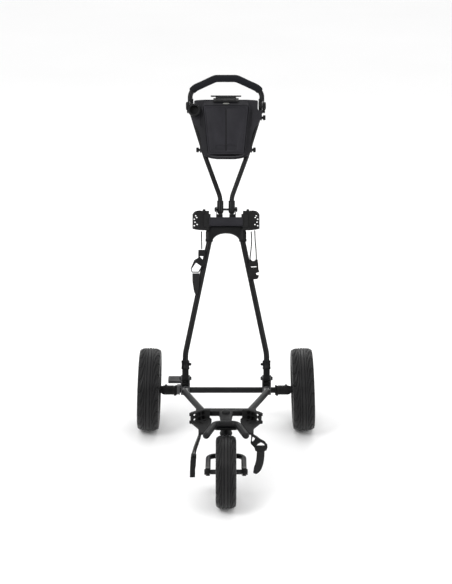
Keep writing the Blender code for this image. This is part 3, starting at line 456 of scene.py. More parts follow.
def turned(profile, centre, axis, sides=64, ring=False, wave=None):
    """Revolve (along, radius) pairs about an axis; wave(turn, along, radius) may change a radius."""
    axis = axis.normalized()
    side, other = square_frame(axis)
    bm = bmesh.new()
    rows = []
    for along, radius in profile:
        if radius < 1e-7:
            rows.append([bm.verts.new(centre + axis * along)])
            continue
        row = []
        for i in range(sides):
            turn = math.tau * i / sides
            way = side * math.cos(turn) + other * math.sin(turn)
            reach = wave(turn, along, radius) if wave else radius
            row.append(bm.verts.new(centre + axis * along + way * reach))
        rows.append(row)
    pairs = list(zip(rows, rows[1:]))
    if ring:
        pairs.append((rows[-1], rows[0]))
    for lower, upper in pairs:
        for i in range(sides):
            j = (i + 1) % sides
            if len(lower) == 1 and len(upper) == 1:
                continue
            if len(lower) == 1:
                bm.faces.new((lower[0], upper[j], upper[i]))
            elif len(upper) == 1:
                bm.faces.new((lower[i], lower[j], upper[0]))
            else:
                bm.faces.new((lower[i], lower[j], upper[j], upper[i]))
    return bm


def eased(back, corner, ahead, radius, steps):
    """Points that round off one flat corner, given the edges that leave it."""
    reach = min(radius, back.length * 0.45, ahead.length * 0.45)
    start, end = corner + back.normalized() * reach, corner + ahead.normalized() * reach
    parts = [k / steps for k in range(steps + 1)]
    curve = [start * (1 - t) ** 2 + corner * (2 * t * (1 - t)) + end * t ** 2 for t in parts]
    return [(spot.x, spot.y) for spot in curve]


def softened(profile, radius=0.0008, steps=3):
    """A turned profile with each of its corners rounded off."""
    soft = [profile[0]]
    for (a0, r0), (a1, r1), (a2, r2) in zip(profile, profile[1:], profile[2:]):
        back, ahead = Vector((a0 - a1, r0 - r1)), Vector((a2 - a1, r2 - r1))
        soft += eased(back, Vector((a1, r1)), ahead, radius, steps)
    return soft + [profile[-1]]


def mirrored(half):
    """A turned profile from its outer half, the same on both sides of the middle."""
    return [(-a, r) for a, r in half[::-1]] + half


def lathe(profile, centre, axis, sides=64, radius=0.0008, wave=None):
    return turned(softened(profile, radius), centre, axis, sides, wave=wave)


def rod(radius, start, end, centre, axis, sides=48, edge=0.0006):
    return lathe([(start, 0), (start, radius), (end, radius), (end, 0)], centre, axis, sides, edge)


def prism(outline, start, end, across, up, origin):
    """Extrude a flat outline of (across, up) pairs from start to end along their cross product."""
    out = across.cross(up).normalized()
    return loft([[origin + across * a + up * b + out * level for a, b in outline] for level in (start, end)])


def block(centre, size, across=X, up=UP):
    a, b, c = (s / 2 for s in size)
    return prism([(-a, -b), (a, -b), (a, b), (-a, b)], -c, c, across, up, centre)


def mast_prism(outline, start, end):
    """A prism whose outline lies on the mast plane, with levels measured out of its face."""
    return prism(outline, start, end, X, ALONG, MAST_FOOT)


def flat_prism(outline, start, end, z):
    """A level plate: its outline in plan as (across, ahead of the axle)."""
    return prism(outline, start, end, X, AHEAD, at(0, 0, z))


def mast_block(x, up, out, size):
    return block(on_mast(x, up, out), size, X, ALONG)


def arc(centre_a, centre_b, radius, start, end, steps):
    """Points of an arc in a flat outline, angles in degrees."""
    turns = [math.radians(start + (end - start) * k / steps) for k in range(steps + 1)]
    return [(centre_a + radius * math.cos(t), centre_b + radius * math.sin(t)) for t in turns]


def round_corners(outline, radius, steps=6):
    """A closed flat outline with every corner rounded, as far as its edges allow."""
    soft = []
    count = len(outline)
    for k in range(count):
        before, corner, after = (Vector(outline[(k + d) % count]) for d in (-1, 0, 1))
        soft += eased(before - corner, corner, after - corner, radius, steps)
    return soft


def evenly(line, count):
    """Evenly spaced points along a run of straight pieces."""
    reach = [0.0]
    for a, b in zip(line, line[1:]):
        reach.append(reach[-1] + (b - a).length)
    out = []
    j = 0
    for k in range(count):
        goal = reach[-1] * k / (count - 1)
        while j < len(line) - 2 and reach[j + 1] <= goal:
            j += 1
        share = (goal - reach[j]) / max(reach[j + 1] - reach[j], 1e-12)
        out.append(line[j].lerp(line[j + 1], share))
    return out


def smooth_path(points, count):
    """Evenly spaced points of a Catmull-Rom curve through the given ones."""
    padded = [points[0] * 2 - points[1]] + points + [points[-1] * 2 - points[-2]]
    dense = []
    for k in range(1, len(padded) - 2):
        a, b, c, d = padded[k - 1:k + 3]
        for j in range(20):
            t = j / 20
            dense.append(0.5 * ((2 * b) + (c - a) * t + (2 * a - 5 * b + 4 * c - d) * t * t
                                + (3 * b - a - 3 * c + d) * t ** 3))
    return evenly(dense + [points[-1]], count)


def length_of(path):
    return sum((b - a).length for a, b in zip(path, path[1:]))


# ---- straps -------------------------------------------------------------------------------------


def skin(sections, paths):
    """Loft equal sections along a path, with UVs in metres: round the section, and along the path."""
    bm = bmesh.new()
    layer = bm.loops.layers.uv.new("weave")
    rows = [[bm.verts.new(point) for point in ring] for ring in sections]
    count = len(rows[0])
    girth = [0.0]
    for i in range(count):
        girth.append(girth[-1] + (sections[0][(i + 1) % count] - sections[0][i]).length)
    reach = [0.0]
    for a, b in zip(paths, paths[1:]):
        reach.append(reach[-1] + (b - a).length)
    for k in range(len(rows) - 1):
        for i in range(count):
            j = (i + 1) % count
            face = bm.faces.new((rows[k][i], rows[k][j], rows[k + 1][j], rows[k + 1][i]))
            corners = ((i, k), (i + 1, k), (i + 1, k + 1), (i, k + 1))
            for loop, (a, b) in zip(face.loops, corners):
                loop[layer].uv = (girth[a], reach[b])
    bm.faces.new(rows[0][::-1])
    bm.faces.new(rows[-1])
    return bm


def braided(name, path, radius):
    """Round elastic cord: a braid of two sets of ridges that wind opposite ways."""
    fine = smooth_path(path, int(length_of(path) / BRAID_STEP))
    sides = 20
    rings = sweep_rings(fine, radius, sides)
    for k, ring in enumerate(rings):
        for i in range(sides):
            turn = math.tau * (i + 0.5) / sides
            along = k * BRAID_STEP * math.tau / BRAID_PITCH
            lift = BRAID_DEPTH * math.sin(4 * turn + 2 * along) * math.sin(4 * turn - 2 * along)
            ring[i] += (ring[i] - fine[k]).normalized() * (lift - BRAID_DEPTH)
    return piece(name, skin(rings, fine), CORD_SKIN, "mast", crease=80)


def webbing(name, points, wide, width, body, stands_for, tip=0.0, ply=WEB_T):
    """Flat strap with rolled selvedges; a tip is cut to a blunt point."""
    path = smooth_path(points, 90)
    rings = []
    for k, point in enumerate(path):
        way = (path[min(k + 1, len(path) - 1)] - path[max(k - 1, 0)]).normalized()
        across = (wide - way * wide.dot(way)).normalized()
        out = way.cross(across)
        left = length_of(path[k:])
        half = width / 2
        if tip and left < tip:
            half = width * (0.16 + 0.34 * math.sqrt(left / tip))
        count = 16
        face = []
        for i in range(count + 1):
            a = -1 + 2 * i / count
            thick = ply / 2 * (1.0 + 0.25 * math.exp(-((abs(a) - 0.93) / 0.06) ** 2))
            face.append((across * (a * half), out * (thick * (0.55 if abs(a) > 0.99 else 1.0))))
        ring = [point + aside + lift for aside, lift in face]
        ring += [point + aside - lift for aside, lift in face[::-1]]
        rings.append(ring)
    return piece(name, skin(rings, path), WEBBING, body, stands_for, crease=50)


# upper left: cord, two-bar buckle with its ring, and webbing tail
left_route = [at(-0.0830, -0.1720, 0.6450), at(-0.0825, -0.1705, 0.6150), at(-0.0820, -0.1655, 0.5850)]
cord_left = braided("elastic_cord_left", left_route, CORD_R)
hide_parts("upper_cord_left")
top, foot = at(-0.0820, -0.1645, 0.5822), at(-0.0835, -0.1355, 0.5195)
way = (foot - top).normalized()
across = (X - way * X.dot(way)).normalized()
outline = [(-0.0118, 0.0), (0.0132, 0.0), (0.0132, -0.0560), (0.0030, -0.0560), (-0.0075, -0.0780),
           (-0.0325, -0.0780), (-0.0365, -0.0650), (-0.0245, -0.0350), (-0.0110, -0.0270),
           (-0.0118, -0.0200)]
gap = [(-0.0070, -0.0215), (0.0085, -0.0215), (0.0085, -0.0330), (0.0040, -0.0340)]
ring = [(-0.0185, -0.0440), (-0.0005, -0.0560), (-0.0100, -0.0745), (-0.0305, -0.0745), (-0.0325, -0.0650)]
buckle_cuts = [prism(round_corners(hole, 0.0014, 4), -0.01, 0.01, across, -way, top) for hole in (gap, ring)]
buckle_bm = prism(round_corners(outline, 0.0022), -0.0025, 0.0025, across, -way, top)
buckle_left = piece("ladder_buckle_left", buckle_bm, PLASTIC, "mast", ["upper_buckle_left"],
                    cuts=buckle_cuts, edge=0.0010)
tail_points = [at(-0.1020, -0.1310, 0.5098), at(-0.1018, -0.1210, 0.4880), at(-0.1010, -0.1110, 0.4650),
               at(-0.0998, -0.1030, 0.4455)]
webbing("webbing_tail_left", tail_points, X, WEB_W, "mast", ["upper_webbing_left"], tip=0.045)

# upper right: cord loop through the eye of a hook
turn_middle = at(0.0920, -0.1498, 0.5565)
down = (at(0.0950, -0.1180, 0.4930) - at(0.0925, -0.1425, 0.5440)).normalized()
right_route = [at(0.0850, -0.1720, 0.6450), at(0.0868, -0.1668, 0.6170), at(0.0845, -0.1580, 0.5860)]
for angle in (180, 225, 270, 315, 360):
    spoke = math.radians(angle)
    right_route.append(turn_middle + X * (0.0105 * math.cos(spoke)) - down * (0.0105 * math.sin(spoke)))
right_route += [at(0.1012, -0.1585, 0.5880), at(0.0985, -0.1660, 0.6180), at(0.0970, -0.1680, 0.6500)]
cord_right = braided("elastic_cord_right", right_route, CORD_R)
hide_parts("upper_cord_right")
top, foot = at(0.0925, -0.1425, 0.5440), at(0.0950, -0.1180, 0.4930)
way = (foot - top).normalized()
across = (X - way * X.dot(way)).normalized()
middle = (top + foot) / 2
half = (foot - top).length / 2
outline = [(-0.0165, half), (0.0165, half), (0.0165, 0.0030), (0.0185, 0.0010), (0.0185, -0.0050),
           (0.0090, -0.0065), (0.0075, -0.0110), (0.0090, -0.0140), (0.0165, -0.0150), (0.0160, -0.0215),
           (0.0105, -half), (-0.0130, -half), (-0.0165, -0.0240)]
hook_bm = prism(round_corners(outline, 0.0022), -0.0032, 0.0032, across, -way, middle)
clasp = [(-0.0150, -0.0035), (-0.0080, -0.0035)] + arc(0, -0.0035, 0.0080, 180, 360, 12)[1:-1]
clasp += [(0.0080, -0.0035), (0.0150, -0.0035), (0.0160, -0.0200), (-0.0160, -0.0200)]
clasp_bm = prism(clasp, -0.0040, 0.0040, X, -down, turn_middle)
rib_bm = block(middle + way * 0.0190 + across * -0.003, (0.0200, 0.0020, 0.0084), across, -way)
eye = round_corners([(-0.0100, -0.0015), (0.0100, -0.0015), (0.0100, 0.0015), (-0.0100, 0.0015)], 0.0012, 4)
hook = piece("strap_hook_right", hook_bm, PLASTIC, "mast", ["upper_hook_right"], welds=[clasp_bm, rib_bm],
             cuts=[prism(eye, -0.02, 0.02, across, -way, middle - way * 0.0140)], edge=0.0010)

# lower left: two plies of webbing seen edge on, parting towards the buckle they pass through
drop = [at(-0.0790, 0.5400, 0.2255), at(-0.0830, 0.5400, 0.2120), at(-0.0930, 0.5400, 0.1820),
        at(-0.1000, 0.5400, 0.1560)]
outer_ply = [spot + X * part for spot, part in zip(drop, (-0.0017, -0.0021, -0.0030, -0.0036))]
inner_ply = [spot + X * part for spot, part in zip(drop, (0.0017, 0.0021, 0.0030, 0.0036))]
webbing("webbing_drop_left", outer_ply, AHEAD, WEB_W, "base", ["lower_webbing_left"], ply=0.0036)
webbing("webbing_return_left", inner_ply, AHEAD, WEB_W, "base", (), ply=0.0036)
buckle_at = at(0, 0.5400, 0)
outline = [(-0.1075, 0.1530), (-0.0905, 0.1530), (-0.0925, 0.1260), (-0.0950, 0.1085), (-0.0965, 0.1068),
           (-0.0950, 0.1050), (-0.0950, 0.0858), (-0.1110, 0.0858), (-0.1110, 0.1050), (-0.1095, 0.1068),
           (-0.1105, 0.1085), (-0.1100, 0.1260)]
slots = [block(at(-0.1010, 0.5400, 0.1440), (0.05, 0.0060, 0.0200)),
         block(at(-0.1010, 0.5400, 0.0960), (0.05, 0.0070, 0.0200))]
piece("release_buckle_left", prism(round_corners(outline, 0.0012), -0.0145, 0.0145, X, UP, buckle_at),
      PLASTIC, "base", ["lower_buckle_left"], cuts=slots, edge=0.0011)

# lower right: three-bar slide and the webbing tail below it
slide_at = at(0, 0.5440, 0)
outline = [(0.0755, 0.2314), (0.0800, 0.2290), (0.0950, 0.2190), (0.1034, 0.2116), (0.1180, 0.2030),
           (0.1260, 0.1920), (0.1269, 0.1850), (0.1240, 0.1740), (0.1180, 0.1712), (0.0900, 0.1712),
           (0.0883, 0.1760), (0.0870, 0.1830), (0.0749, 0.1973), (0.0755, 0.2040), (0.0765, 0.2150)]
eye = [(0.0815, 0.2200), (0.0890, 0.2140), (0.0860, 0.2065), (0.0810, 0.2010), (0.0785, 0.2065)]
bar_slot = [(0.0917, 0.1885), (0.1195, 0.1885), (0.1150, 0.1965), (0.1060, 0.2010), (0.0980, 0.1960)]
slide_cuts = [prism(round_corners(hole, 0.0014, 4), -0.02, 0.02, X, UP, slide_at)
              for hole in (eye, bar_slot)]
piece("slide_right", prism(round_corners(outline, 0.0016), -0.0032, 0.0032, X, UP, slide_at), PLASTIC,
      "base", ["lower_slide_right"], cuts=slide_cuts, edge=0.0011)
tail = [at(0.1059, 0.5440, 0.1725), at(0.1058, 0.5450, 0.1600), at(0.1032, 0.5480, 0.1350),
        at(0.0958, 0.5470, 0.1100), at(0.0885, 0.5440, 0.0942)]
webbing("webbing_tail_right", tail, X, WEB_W, "base", ["lower_webbing_right"], tip=0.022)

# ---- wheels -------------------------------------------------------------------------------------
REAR_RADIUS, FRONT_RADIUS = 0.140, 0.112
REAR_BEAD, FRONT_BEAD = 0.1063, 0.0783
CROWN = 0.12                                               # radius of a tread's curve across its width


def crown_radius(radius, across):
    return radius - CROWN + math.sqrt(CROWN ** 2 - across ** 2)


def tyre(name, centre, axis, radius, width, bead, body, stands_for, blocks):
    """Foam tyre: two grooves round its middle, and curved grooves that part the blocks on its shoulders."""
    half = width / 2
    one = [(half - 0.0070, bead), (half - 0.0035, bead + 0.0040), (half - 0.0005, bead + 0.0110),
           (half - 0.0005, bead + 0.0150), (half - 0.0009, bead + 0.0156), (half - 0.0009, bead + 0.0180),
           (half - 0.0006, bead + 0.0186)]
    one += [(half - 0.0020, radius - 0.0085), (half - 0.0040, radius - 0.0056)]
    shoulder = half - 0.0115
    for k in range(35):
        across = half - 0.0058 - (half - 0.0058) * k / 34
        drop = 0.0030 * max(0.0, (across - shoulder) / 0.0062) ** 2
        one.append((across, crown_radius(radius, across) - drop))
    profile = softened([(-a, r) for a, r in one] + one[::-1][1:], 0.0006, 2)

    def tread(turn, along, reach):
        if reach <= radius - 0.0100:
            return reach
        across = abs(along)
        ring_groove = math.exp(-((across - 0.0056) / 0.0013) ** 4)
        edge_groove = math.exp(-((across - 0.0128) / 0.0011) ** 4)
        share = max(0.0, (across - 0.0128) / (half - 0.0128))
        sweep = 0.52 * math.sin(share * 2.3) * (1.0 if along > 0 else -1.0)
        phase = (turn + sweep / (blocks / 18.0)) * blocks / math.tau + (0.5 if along > 0 else 0.0)
        gap = abs(phase - round(phase)) * math.tau * radius / blocks
        curved = math.exp(-(gap / 0.0022) ** 4) * min(1.0, share * 9.0)
        minor_phase = phase * 2 + 0.5
        minor = abs(minor_phase - round(minor_phase)) * math.pi * radius / blocks
        sipe = math.exp(-(minor / 0.0011) ** 4) * min(1.0, max(0.0, share - 0.12) * 6.0) * (share < 0.70)
        return reach - max(0.0026 * ring_groove, 0.0018 * edge_groove, 0.0030 * curved, 0.0017 * sipe)

    piece(name, turned(profile, centre, axis, int(radius * 4600), ring=True, wave=tread), TYRE, body,
          stands_for, crease=60)


def rim(name, centre, axis, radius, width, bead, body, stands_for, windows):
    """Moulded rim: dished web with rounded windows, a rib along each spoke and a bright hub flange."""
    hub = 0.021 if radius == REAR_RADIUS else 0.018
    inner = bead - 0.0003
    seat = width / 2 - 0.0075
    half = [(0.0262, 0.0064), (0.0262, hub - 0.0030), (0.0250, hub), (0.0060, hub + 0.0016),
            (0.0042, hub + 0.006), (0.0040, inner - 0.014), (0.0075, inner - 0.0095),
            (seat - 0.0013, inner - 0.0070), (seat, inner - 0.0040), (seat, inner)]
    profile = mirrored(half[::-1])
    profile = softened(profile + profile[:1], 0.0012, 3)[:-1]
    side, other = square_frame(axis)
    near, far = hub + 0.010, bead - 0.022
    cuts, ribs = [], []
    for k in range(windows):
        middle = 360.0 * k / windows
        wide = 360.0 / windows
        hole = arc(0, 0, far, middle - wide * 0.34, middle + wide * 0.34, 14)
        hole += arc(0, 0, near, middle + wide * 0.20, middle - wide * 0.20, 5)
        cuts.append(prism(round_corners(hole, 0.003, 3), -0.02, 0.02, side, other, centre))
        turn = math.radians(middle + wide / 2)
        way = side * math.cos(turn) + other * math.sin(turn)
        along = way * ((near + far) / 2) + centre
        ribs.append(block(along, (far - near + 0.020, 0.0040, 0.0170), way, axis.cross(way)))
    piece(name, turned(profile, centre, axis, 96, ring=True), PLASTIC, body, stands_for, welds=ribs,
          cuts=cuts, edge=0.0012, segments=2, sharp=38)
    for k, face in enumerate((-1.0, 1.0)):                 # a bright flange on each face
        ring = [(0.0255, 0.0095), (0.0272, 0.0098), (0.0274, hub - 0.0022), (0.0262, hub + 0.0006),
                (0.0235, hub + 0.0008), (0.0235, 0.0095)]
        flange = turned(softened(ring + ring[:1], 0.0005, 2)[:-1], centre, axis * face, 72, ring=True)
        piece(f"{name}_flange_{k}", flange, STEEL, body)


wheels = [("front_wheel", FRONT_AXLE, X, FRONT_RADIUS, FRONT_WIDTH, FRONT_BEAD, 5, 16)]
for side_name, s in SIDES:
    joint = JOINTS[f"rear_wheel_spin_{side_name}"]
    wheels.append((f"rear_wheel_{side_name}", Vector(joint["pos_m"]), Vector(joint["axis"]).normalized(),
                   REAR_RADIUS, REAR_WIDTH, REAR_BEAD, 6, 20))
for name, centre, axis, radius, width, bead, windows, blocks in wheels:
    tyre(f"{name}_tread", centre, axis, radius, width, bead, name, [f"{name}_tyre"], blocks)
    rim(f"{name}_web", centre, axis, radius, width, bead, name, [f"{name}_rim"], windows)

# ---- lower frame --------------------------------------------------------------------------------
AXLE_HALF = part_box("axle_bar")[1].x
piece("axle_tube", rod(BAR_R, -AXLE_HALF, AXLE_HALF, AXLE, X, 64, 0.001), TUBE, "base", ["axle_bar"])

tube_way = (at(0.134, 0.215, 0.225) - at(BRACKET_X, 0, AXLE_Z)).normalized()
for side, s in SIDES:
    foot = at(s * BRACKET_X, 0, 0)
    outline = arc(0, AXLE_Z, 0.017, 172, 368, 40) + arc(0, PIVOT_Z, 0.011, 8, 172, 30)
    way = Vector((s * tube_way.x, tube_way.y, tube_way.z))
    hollow = [(-0.0102, PIVOT_Z + 0.0300), (-0.0102, AXLE_Z + 0.0215), (-0.0082, AXLE_Z + 0.0190),
              (0.0082, AXLE_Z + 0.0190), (0.0102, AXLE_Z + 0.0215), (0.0102, PIVOT_Z + 0.0300)]
    hollow = [(a * 1.09, b) for a, b in hollow]
    cuts = [prism(hollow, -0.03, 0.03, X, UP, at(s * BRACKET_X, 0, 0)),
            rod(0.0103, -0.03, 0.03, at(s * BRACKET_X, 0, AXLE_Z), X, 48),
            rod(0.0104, 0.0, 0.04, at(s * BRACKET_X, 0, AXLE_Z), way, 48)]
    piece(f"clevis_{side}", prism(outline, -0.0150, 0.0150, AHEAD, UP, foot), EAR, "base",
          [f"hinge_bracket_{side}"], cuts=cuts, edge=0.0012)
    saddle = round_corners([(-0.0110, AXLE_Z + 0.0104), (0.0110, AXLE_Z + 0.0104),
                            (0.0110, PIVOT_Z - 0.0114), (-0.0110, PIVOT_Z - 0.0114)], 0.0010, 3)
    piece(f"saddle_{side}", prism(saddle, -0.0108, 0.0108, X, UP, foot), BRACKET, "base", edge=0.0006,
          segments=2)
    half = [(0.0154, 0.0038), (0.0154, 0.0072), (0.0172, 0.0074), (0.0172, 0.0062), (0.0200, 0.0058),
            (0.0206, 0.0044), (0.0206, 0.0)]
    piece(f"pivot_pin_{side}", lathe(mirrored(half), at(s * BRACKET_X, 0, PIVOT_Z), X, 48, 0.0005),
          DARK_STEEL, "base", [f"pivot_bolt_{side}"])

    start = at(s * BRACKET_X, 0, AXLE_Z) + way * 0.0125
    points = [start, at(s * 0.134, 0.215, 0.225), at(s * 0.107, 0.300, 0.232),
              at(s * 0.0741, 0.4047, 0.2417)]
    piece(f"frame_tube_{side}", tube(rounded(points, 0.07, 14), BAR_R, 40, end_normal=AHEAD), TUBE, "base",
          [f"lower_tube_{side}"], crease=50)
    collar = [(0.0160, 0.0101), (0.0160, 0.0126), (0.0172, 0.0134), (0.0215, 0.0134), (0.0228, 0.0122),
              (0.0236, 0.0101)]
    piece(f"weld_ring_{side}", turned(softened(collar + collar[:1], 0.0006, 3)[:-1],
                                      at(s * BRACKET_X, 0, AXLE_Z), way, 56, ring=True), EAR, "base")

# hub sleeves: a ribbed plastic sleeve, a flange, a thin release lever and the stub axle
for side, s in SIDES:
    joint = JOINTS[f"rear_wheel_spin_{side}"]
    centre, outward = Vector(joint["pos_m"]), Vector(joint["axis"]).normalized()
    way = Vector((s, 0, 0))
    profile = [(0.1905, 0), (0.1905, 0.0103), (0.1660, 0.0103), (0.1660, 0.01725), (0.1682, 0.0174),
               (0.1705, 0.0168), (0.1722, 0.0150), (0.1760, 0.0150), (0.1775, 0.0159), (0.1850, 0.0159),
               (0.1860, 0.0152), (0.1870, 0.0159), (0.1900, 0.0159), (0.1910, 0.0152), (0.1920, 0.0159),
               (0.1950, 0.0159), (0.1960, 0.0152), (0.1970, 0.0159), (0.2080, 0.0159), (0.2120, 0.0152),
               (0.2165, 0.0138), (0.2165, 0)]
    spot = at(s * 0.2025, 0, AXLE_Z)
    stub = [(-0.0505, 0), (-0.0505, 0.0125), (-0.0290, 0.0125), (-0.0282, 0.0118), (-0.0280, 0.006),
            (0.0280, 0.006), (0.0280, 0.0108), (0.0325, 0.0110), (0.0342, 0.0090), (0.0345, 0.0060),
            (0.0345, 0)]
    lever = prism(round_corners([(s * 0.1980, 0.1530), (s * 0.2110, 0.1518), (s * 0.2110, 0.1505),
                                 (s * 0.1980, 0.1500)], 0.0006, 3), -0.0045, 0.0045, X, UP, at(0, 0, 0))
    lug = prism(round_corners([(s * 0.1690, -0.0190), (s * 0.1770, -0.0190), (s * 0.1770, 0.0),
                               (s * 0.1690, 0.0)], 0.0022, 4), -0.0050, 0.0050, X, UP, at(0, 0, AXLE_Z))
    piece(f"hub_body_{side}", turned(softened(profile, 0.0006, 2), at(0, 0, AXLE_Z), way, 72), PLASTIC,
          "base", [f"hub_sleeve_{side}"],
          welds=[turned(softened(stub, 0.0005, 2), centre, outward, 48), lug, lever],
          cuts=[rod(0.0048, 0.006, 0.03, spot, UP, 40)])
    button = [(0.0105, 0), (0.0105, 0.0042), (0.0190, 0.0042), (0.0202, 0.0034), (0.0205, 0.0018),
              (0.0202, 0)]
    piece(f"button_cap_{side}", lathe(button, spot, UP, 40, 0.0004), PEDAL, f"button_{side}",
          [f"release_button_{side}"])

# brake: clamp on the axle, arm and ribbed pedal
brake_pivot = joint_at("brake_press")
BRAKE_X, BRAKE_BACK = -0.159, AXLE_Y - brake_pivot.y
outline = arc(0, AXLE_Z, 0.0155, -80, 80, 30) + arc(BRAKE_BACK, AXLE_Z, 0.008, 105, 255, 20)
pin = [(-0.0100, 0), (-0.0100, 0.005), (-0.0069, 0.005), (-0.0069, 0.003), (0.0098, 0.003), (0.0098, 0.005),
       (0.0130, 0.005), (0.0130, 0)]
piece("brake_clamp", prism(outline, -0.0030, 0.0065, AHEAD, UP, at(BRAKE_X, 0, 0)), PEDAL, "base",
      ["brake_mount"], cuts=[rod(0.0103, -0.03, 0.03, at(BRAKE_X, 0, AXLE_Z), X, 48)],
      welds=[lathe(pin, at(BRAKE_X, BRAKE_BACK, AXLE_Z), X, 36, 0.0005)], edge=0.0010)
outline = arc(BRAKE_BACK, AXLE_Z, 0.0085, -90, 80, 24)
outline += round_corners([(-0.045, 0.1360), (-0.098, 0.1360), (-0.104, 0.1330), (-0.104, 0.1290),
                          (-0.060, 0.1240)], 0.002, 3)
piece("brake_lever", prism(outline, 0.0, 0.0055, AHEAD, UP, at(-0.1500, 0, 0)), PEDAL, "brake",
      ["brake_arm"], cuts=[rod(0.0034, -0.03, 0.03, at(BRAKE_X, BRAKE_BACK, AXLE_Z), X, 36)], edge=0.0010)
low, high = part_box("brake_pedal")
pedal_middle = (low + high) / 2
half_x, half_f = (high.x - low.x) / 2, (high.y - low.y) / 2
outline = round_corners([(-half_x, -half_f), (half_x, -half_f), (half_x, half_f), (-half_x, half_f)], 0.006,
                        8)
grooves = [block(pedal_middle + Vector((0, 0.012 - 0.006 * k, 0.0052)), (0.038, 0.0022, 0.0030))
           for k in range(5)]
piece("pedal_pad", prism(outline, -0.0050, 0.0050, X, AHEAD, pedal_middle), PEDAL, "brake", ["brake_pedal"],
      cuts=grooves, edge=0.0016)

# ---- front crossbar, steering head and bag base fork --------------------------------------------
outline = [(-0.094, 0.405), (0.094, 0.405), (0.094, 0.430), (0.0215, 0.430), (0.0195, 0.446),
           (0.0185, 0.462), (0.017, 0.470), (0.017, 0.4977), (-0.017, 0.4977), (-0.017, 0.470),
           (-0.0185, 0.462), (-0.0195, 0.446), (-0.0215, 0.430), (-0.094, 0.430)]
bar_z = 0.2435
cap = [(0.2480, 0), (0.2480, 0.013), (0.2560, 0.013), (0.2585, 0.011), (0.2600, 0.007), (0.2603, 0)]
piece("front_crossbar", flat_prism(round_corners(outline, 0.003, 4), -0.0085, 0.0085, bar_z), PLASTIC,
      "base", ["lower_crossbar"], edge=0.0055, segments=5,
      welds=[lathe(cap, at(0, SWIVEL_FORWARD, 0), UP, 64, 0.0010)])

profile = [(0.2245, 0), (0.2245, 0.0106), (0.1780, 0.0106), (0.1780, 0.0192), (0.1792, 0.0195),
           (0.1850, 0.0195), (0.1870, 0.0175), (0.2180, 0.0175), (0.2195, 0.0182), (0.2235, 0.0182),
           (0.2250, 0.0175), (0.2347, 0.0175), (0.2347, 0)]
piece("steering_head", lathe(profile, at(0, SWIVEL_FORWARD, 0), UP, 72, 0.0007), BRACKET, "base",
      ["head_tube"])

FORK_Z = 0.245
points = [at(x, f, FORK_Z) for x, f in ((-0.0593, 0.590), (-0.034, 0.509), (0.034, 0.509), (0.0593, 0.590))]
path = rounded(points, 0.022, 12)
tube_r = 0.0105
radii = [tube_r] * len(path)
for end, before in ((0, 1), (-1, -2)):
    leg_way = (path[end] - path[before]).normalized()
    reach = [0.0128 * math.sin(math.pi / 2 * k / 10) for k in range(1, 11)]
    tips = [path[end] + leg_way * step for step in reach]
    shrink = [max(0.0009, tube_r * math.cos(math.pi / 2 * k / 10)) for k in range(1, 11)]
    if end == 0:
        path, radii = tips[::-1] + path, shrink[::-1] + radii
    else:
        path, radii = path + tips, radii + shrink
plate = round_corners([(-0.0350, 0.5150), (-0.0250, 0.4930), (0.0250, 0.4930), (0.0350, 0.5150),
                       (0.0300, 0.5190), (-0.0300, 0.5190)], 0.003, 4)
piece("bag_fork", tube(path, radii, 40), TUBE, "base", ["bag_base_fork"], crease=60)
piece("fork_plate", flat_prism(plate, -0.0030, 0.0035, 0.2318), BRACKET, "base", edge=0.0010)

# lower wings: bent rubber pads with a ladder of windows, ribs, corner beads and a gusset plate
WING_Z, WING_HALF = 0.2432, 0.0179
for side, s in SIDES:
    strip = [(0.0500, 0.4303), (0.0768, 0.4303), (0.1115, 0.4588), (0.1040, 0.4681), (0.0725, 0.4423),
             (0.0500, 0.4423)]
    strip = round_corners([(s * a, b) for a, b in strip], 0.0035, 5)
    along = Vector((s * 0.0392, -0.0322, 0)).normalized()
    cuts, welds = [], []
    for column in range(3):
        wide = 0.0074 if column == 0 else 0.0048
        for row in range(2):
            middle = at(s * 0.0725, 0.4423, WING_Z + 0.0085 - 0.0155 * row)
            middle += along * (0.0280 - 0.0145 * column)
            hole = round_corners([(-wide, -0.0062), (wide, -0.0062), (wide, 0.0062), (-wide, 0.0062)],
                                 0.0020, 4)
            depth = 0.03 if column == 0 else 0.0065
            cuts.append(prism(hole, -depth, depth, along, UP, middle))
    for lift in (0.0163, 0.0007, -0.0160):
        spot = at(s * 0.0725, 0.4423, WING_Z + lift)
        welds.append(block(spot + along * 0.0195, (0.0370, 0.0022, 0.0026), along, UP))
    for lift in (0.0130, -0.0130):
        welds.append(rod(0.0052, -0.0045, 0.0045, at(s * 0.1085, 0.4630, WING_Z + lift), UP, 24, 0.0015))
    plate = [(0.0500, 0.4350), (0.0780, 0.4350), (0.1085, 0.4625), (0.1060, 0.4690), (0.0850, 0.5080),
             (0.0840, 0.5480), (0.0650, 0.5480), (0.0500, 0.4930), (0.0440, 0.4500)]
    plate = round_corners([(s * a, b) for a, b in plate], 0.004, 4)
    welds.append(flat_prism(plate, -0.0036, 0.0036, 0.2303))
    ring_hole = arc(s * 0.0660, 0.4600, 0.0048, 0, 350, 24)
    cuts.append(flat_prism(ring_hole, -0.02, 0.005, 0.2303))
    piece(f"foot_pad_{side}", flat_prism(strip, -WING_HALF, WING_HALF, WING_Z), RUBBER, "base",
          [f"lower_wing_{side}"], cuts=cuts, welds=welds, edge=0.0012, segments=2)

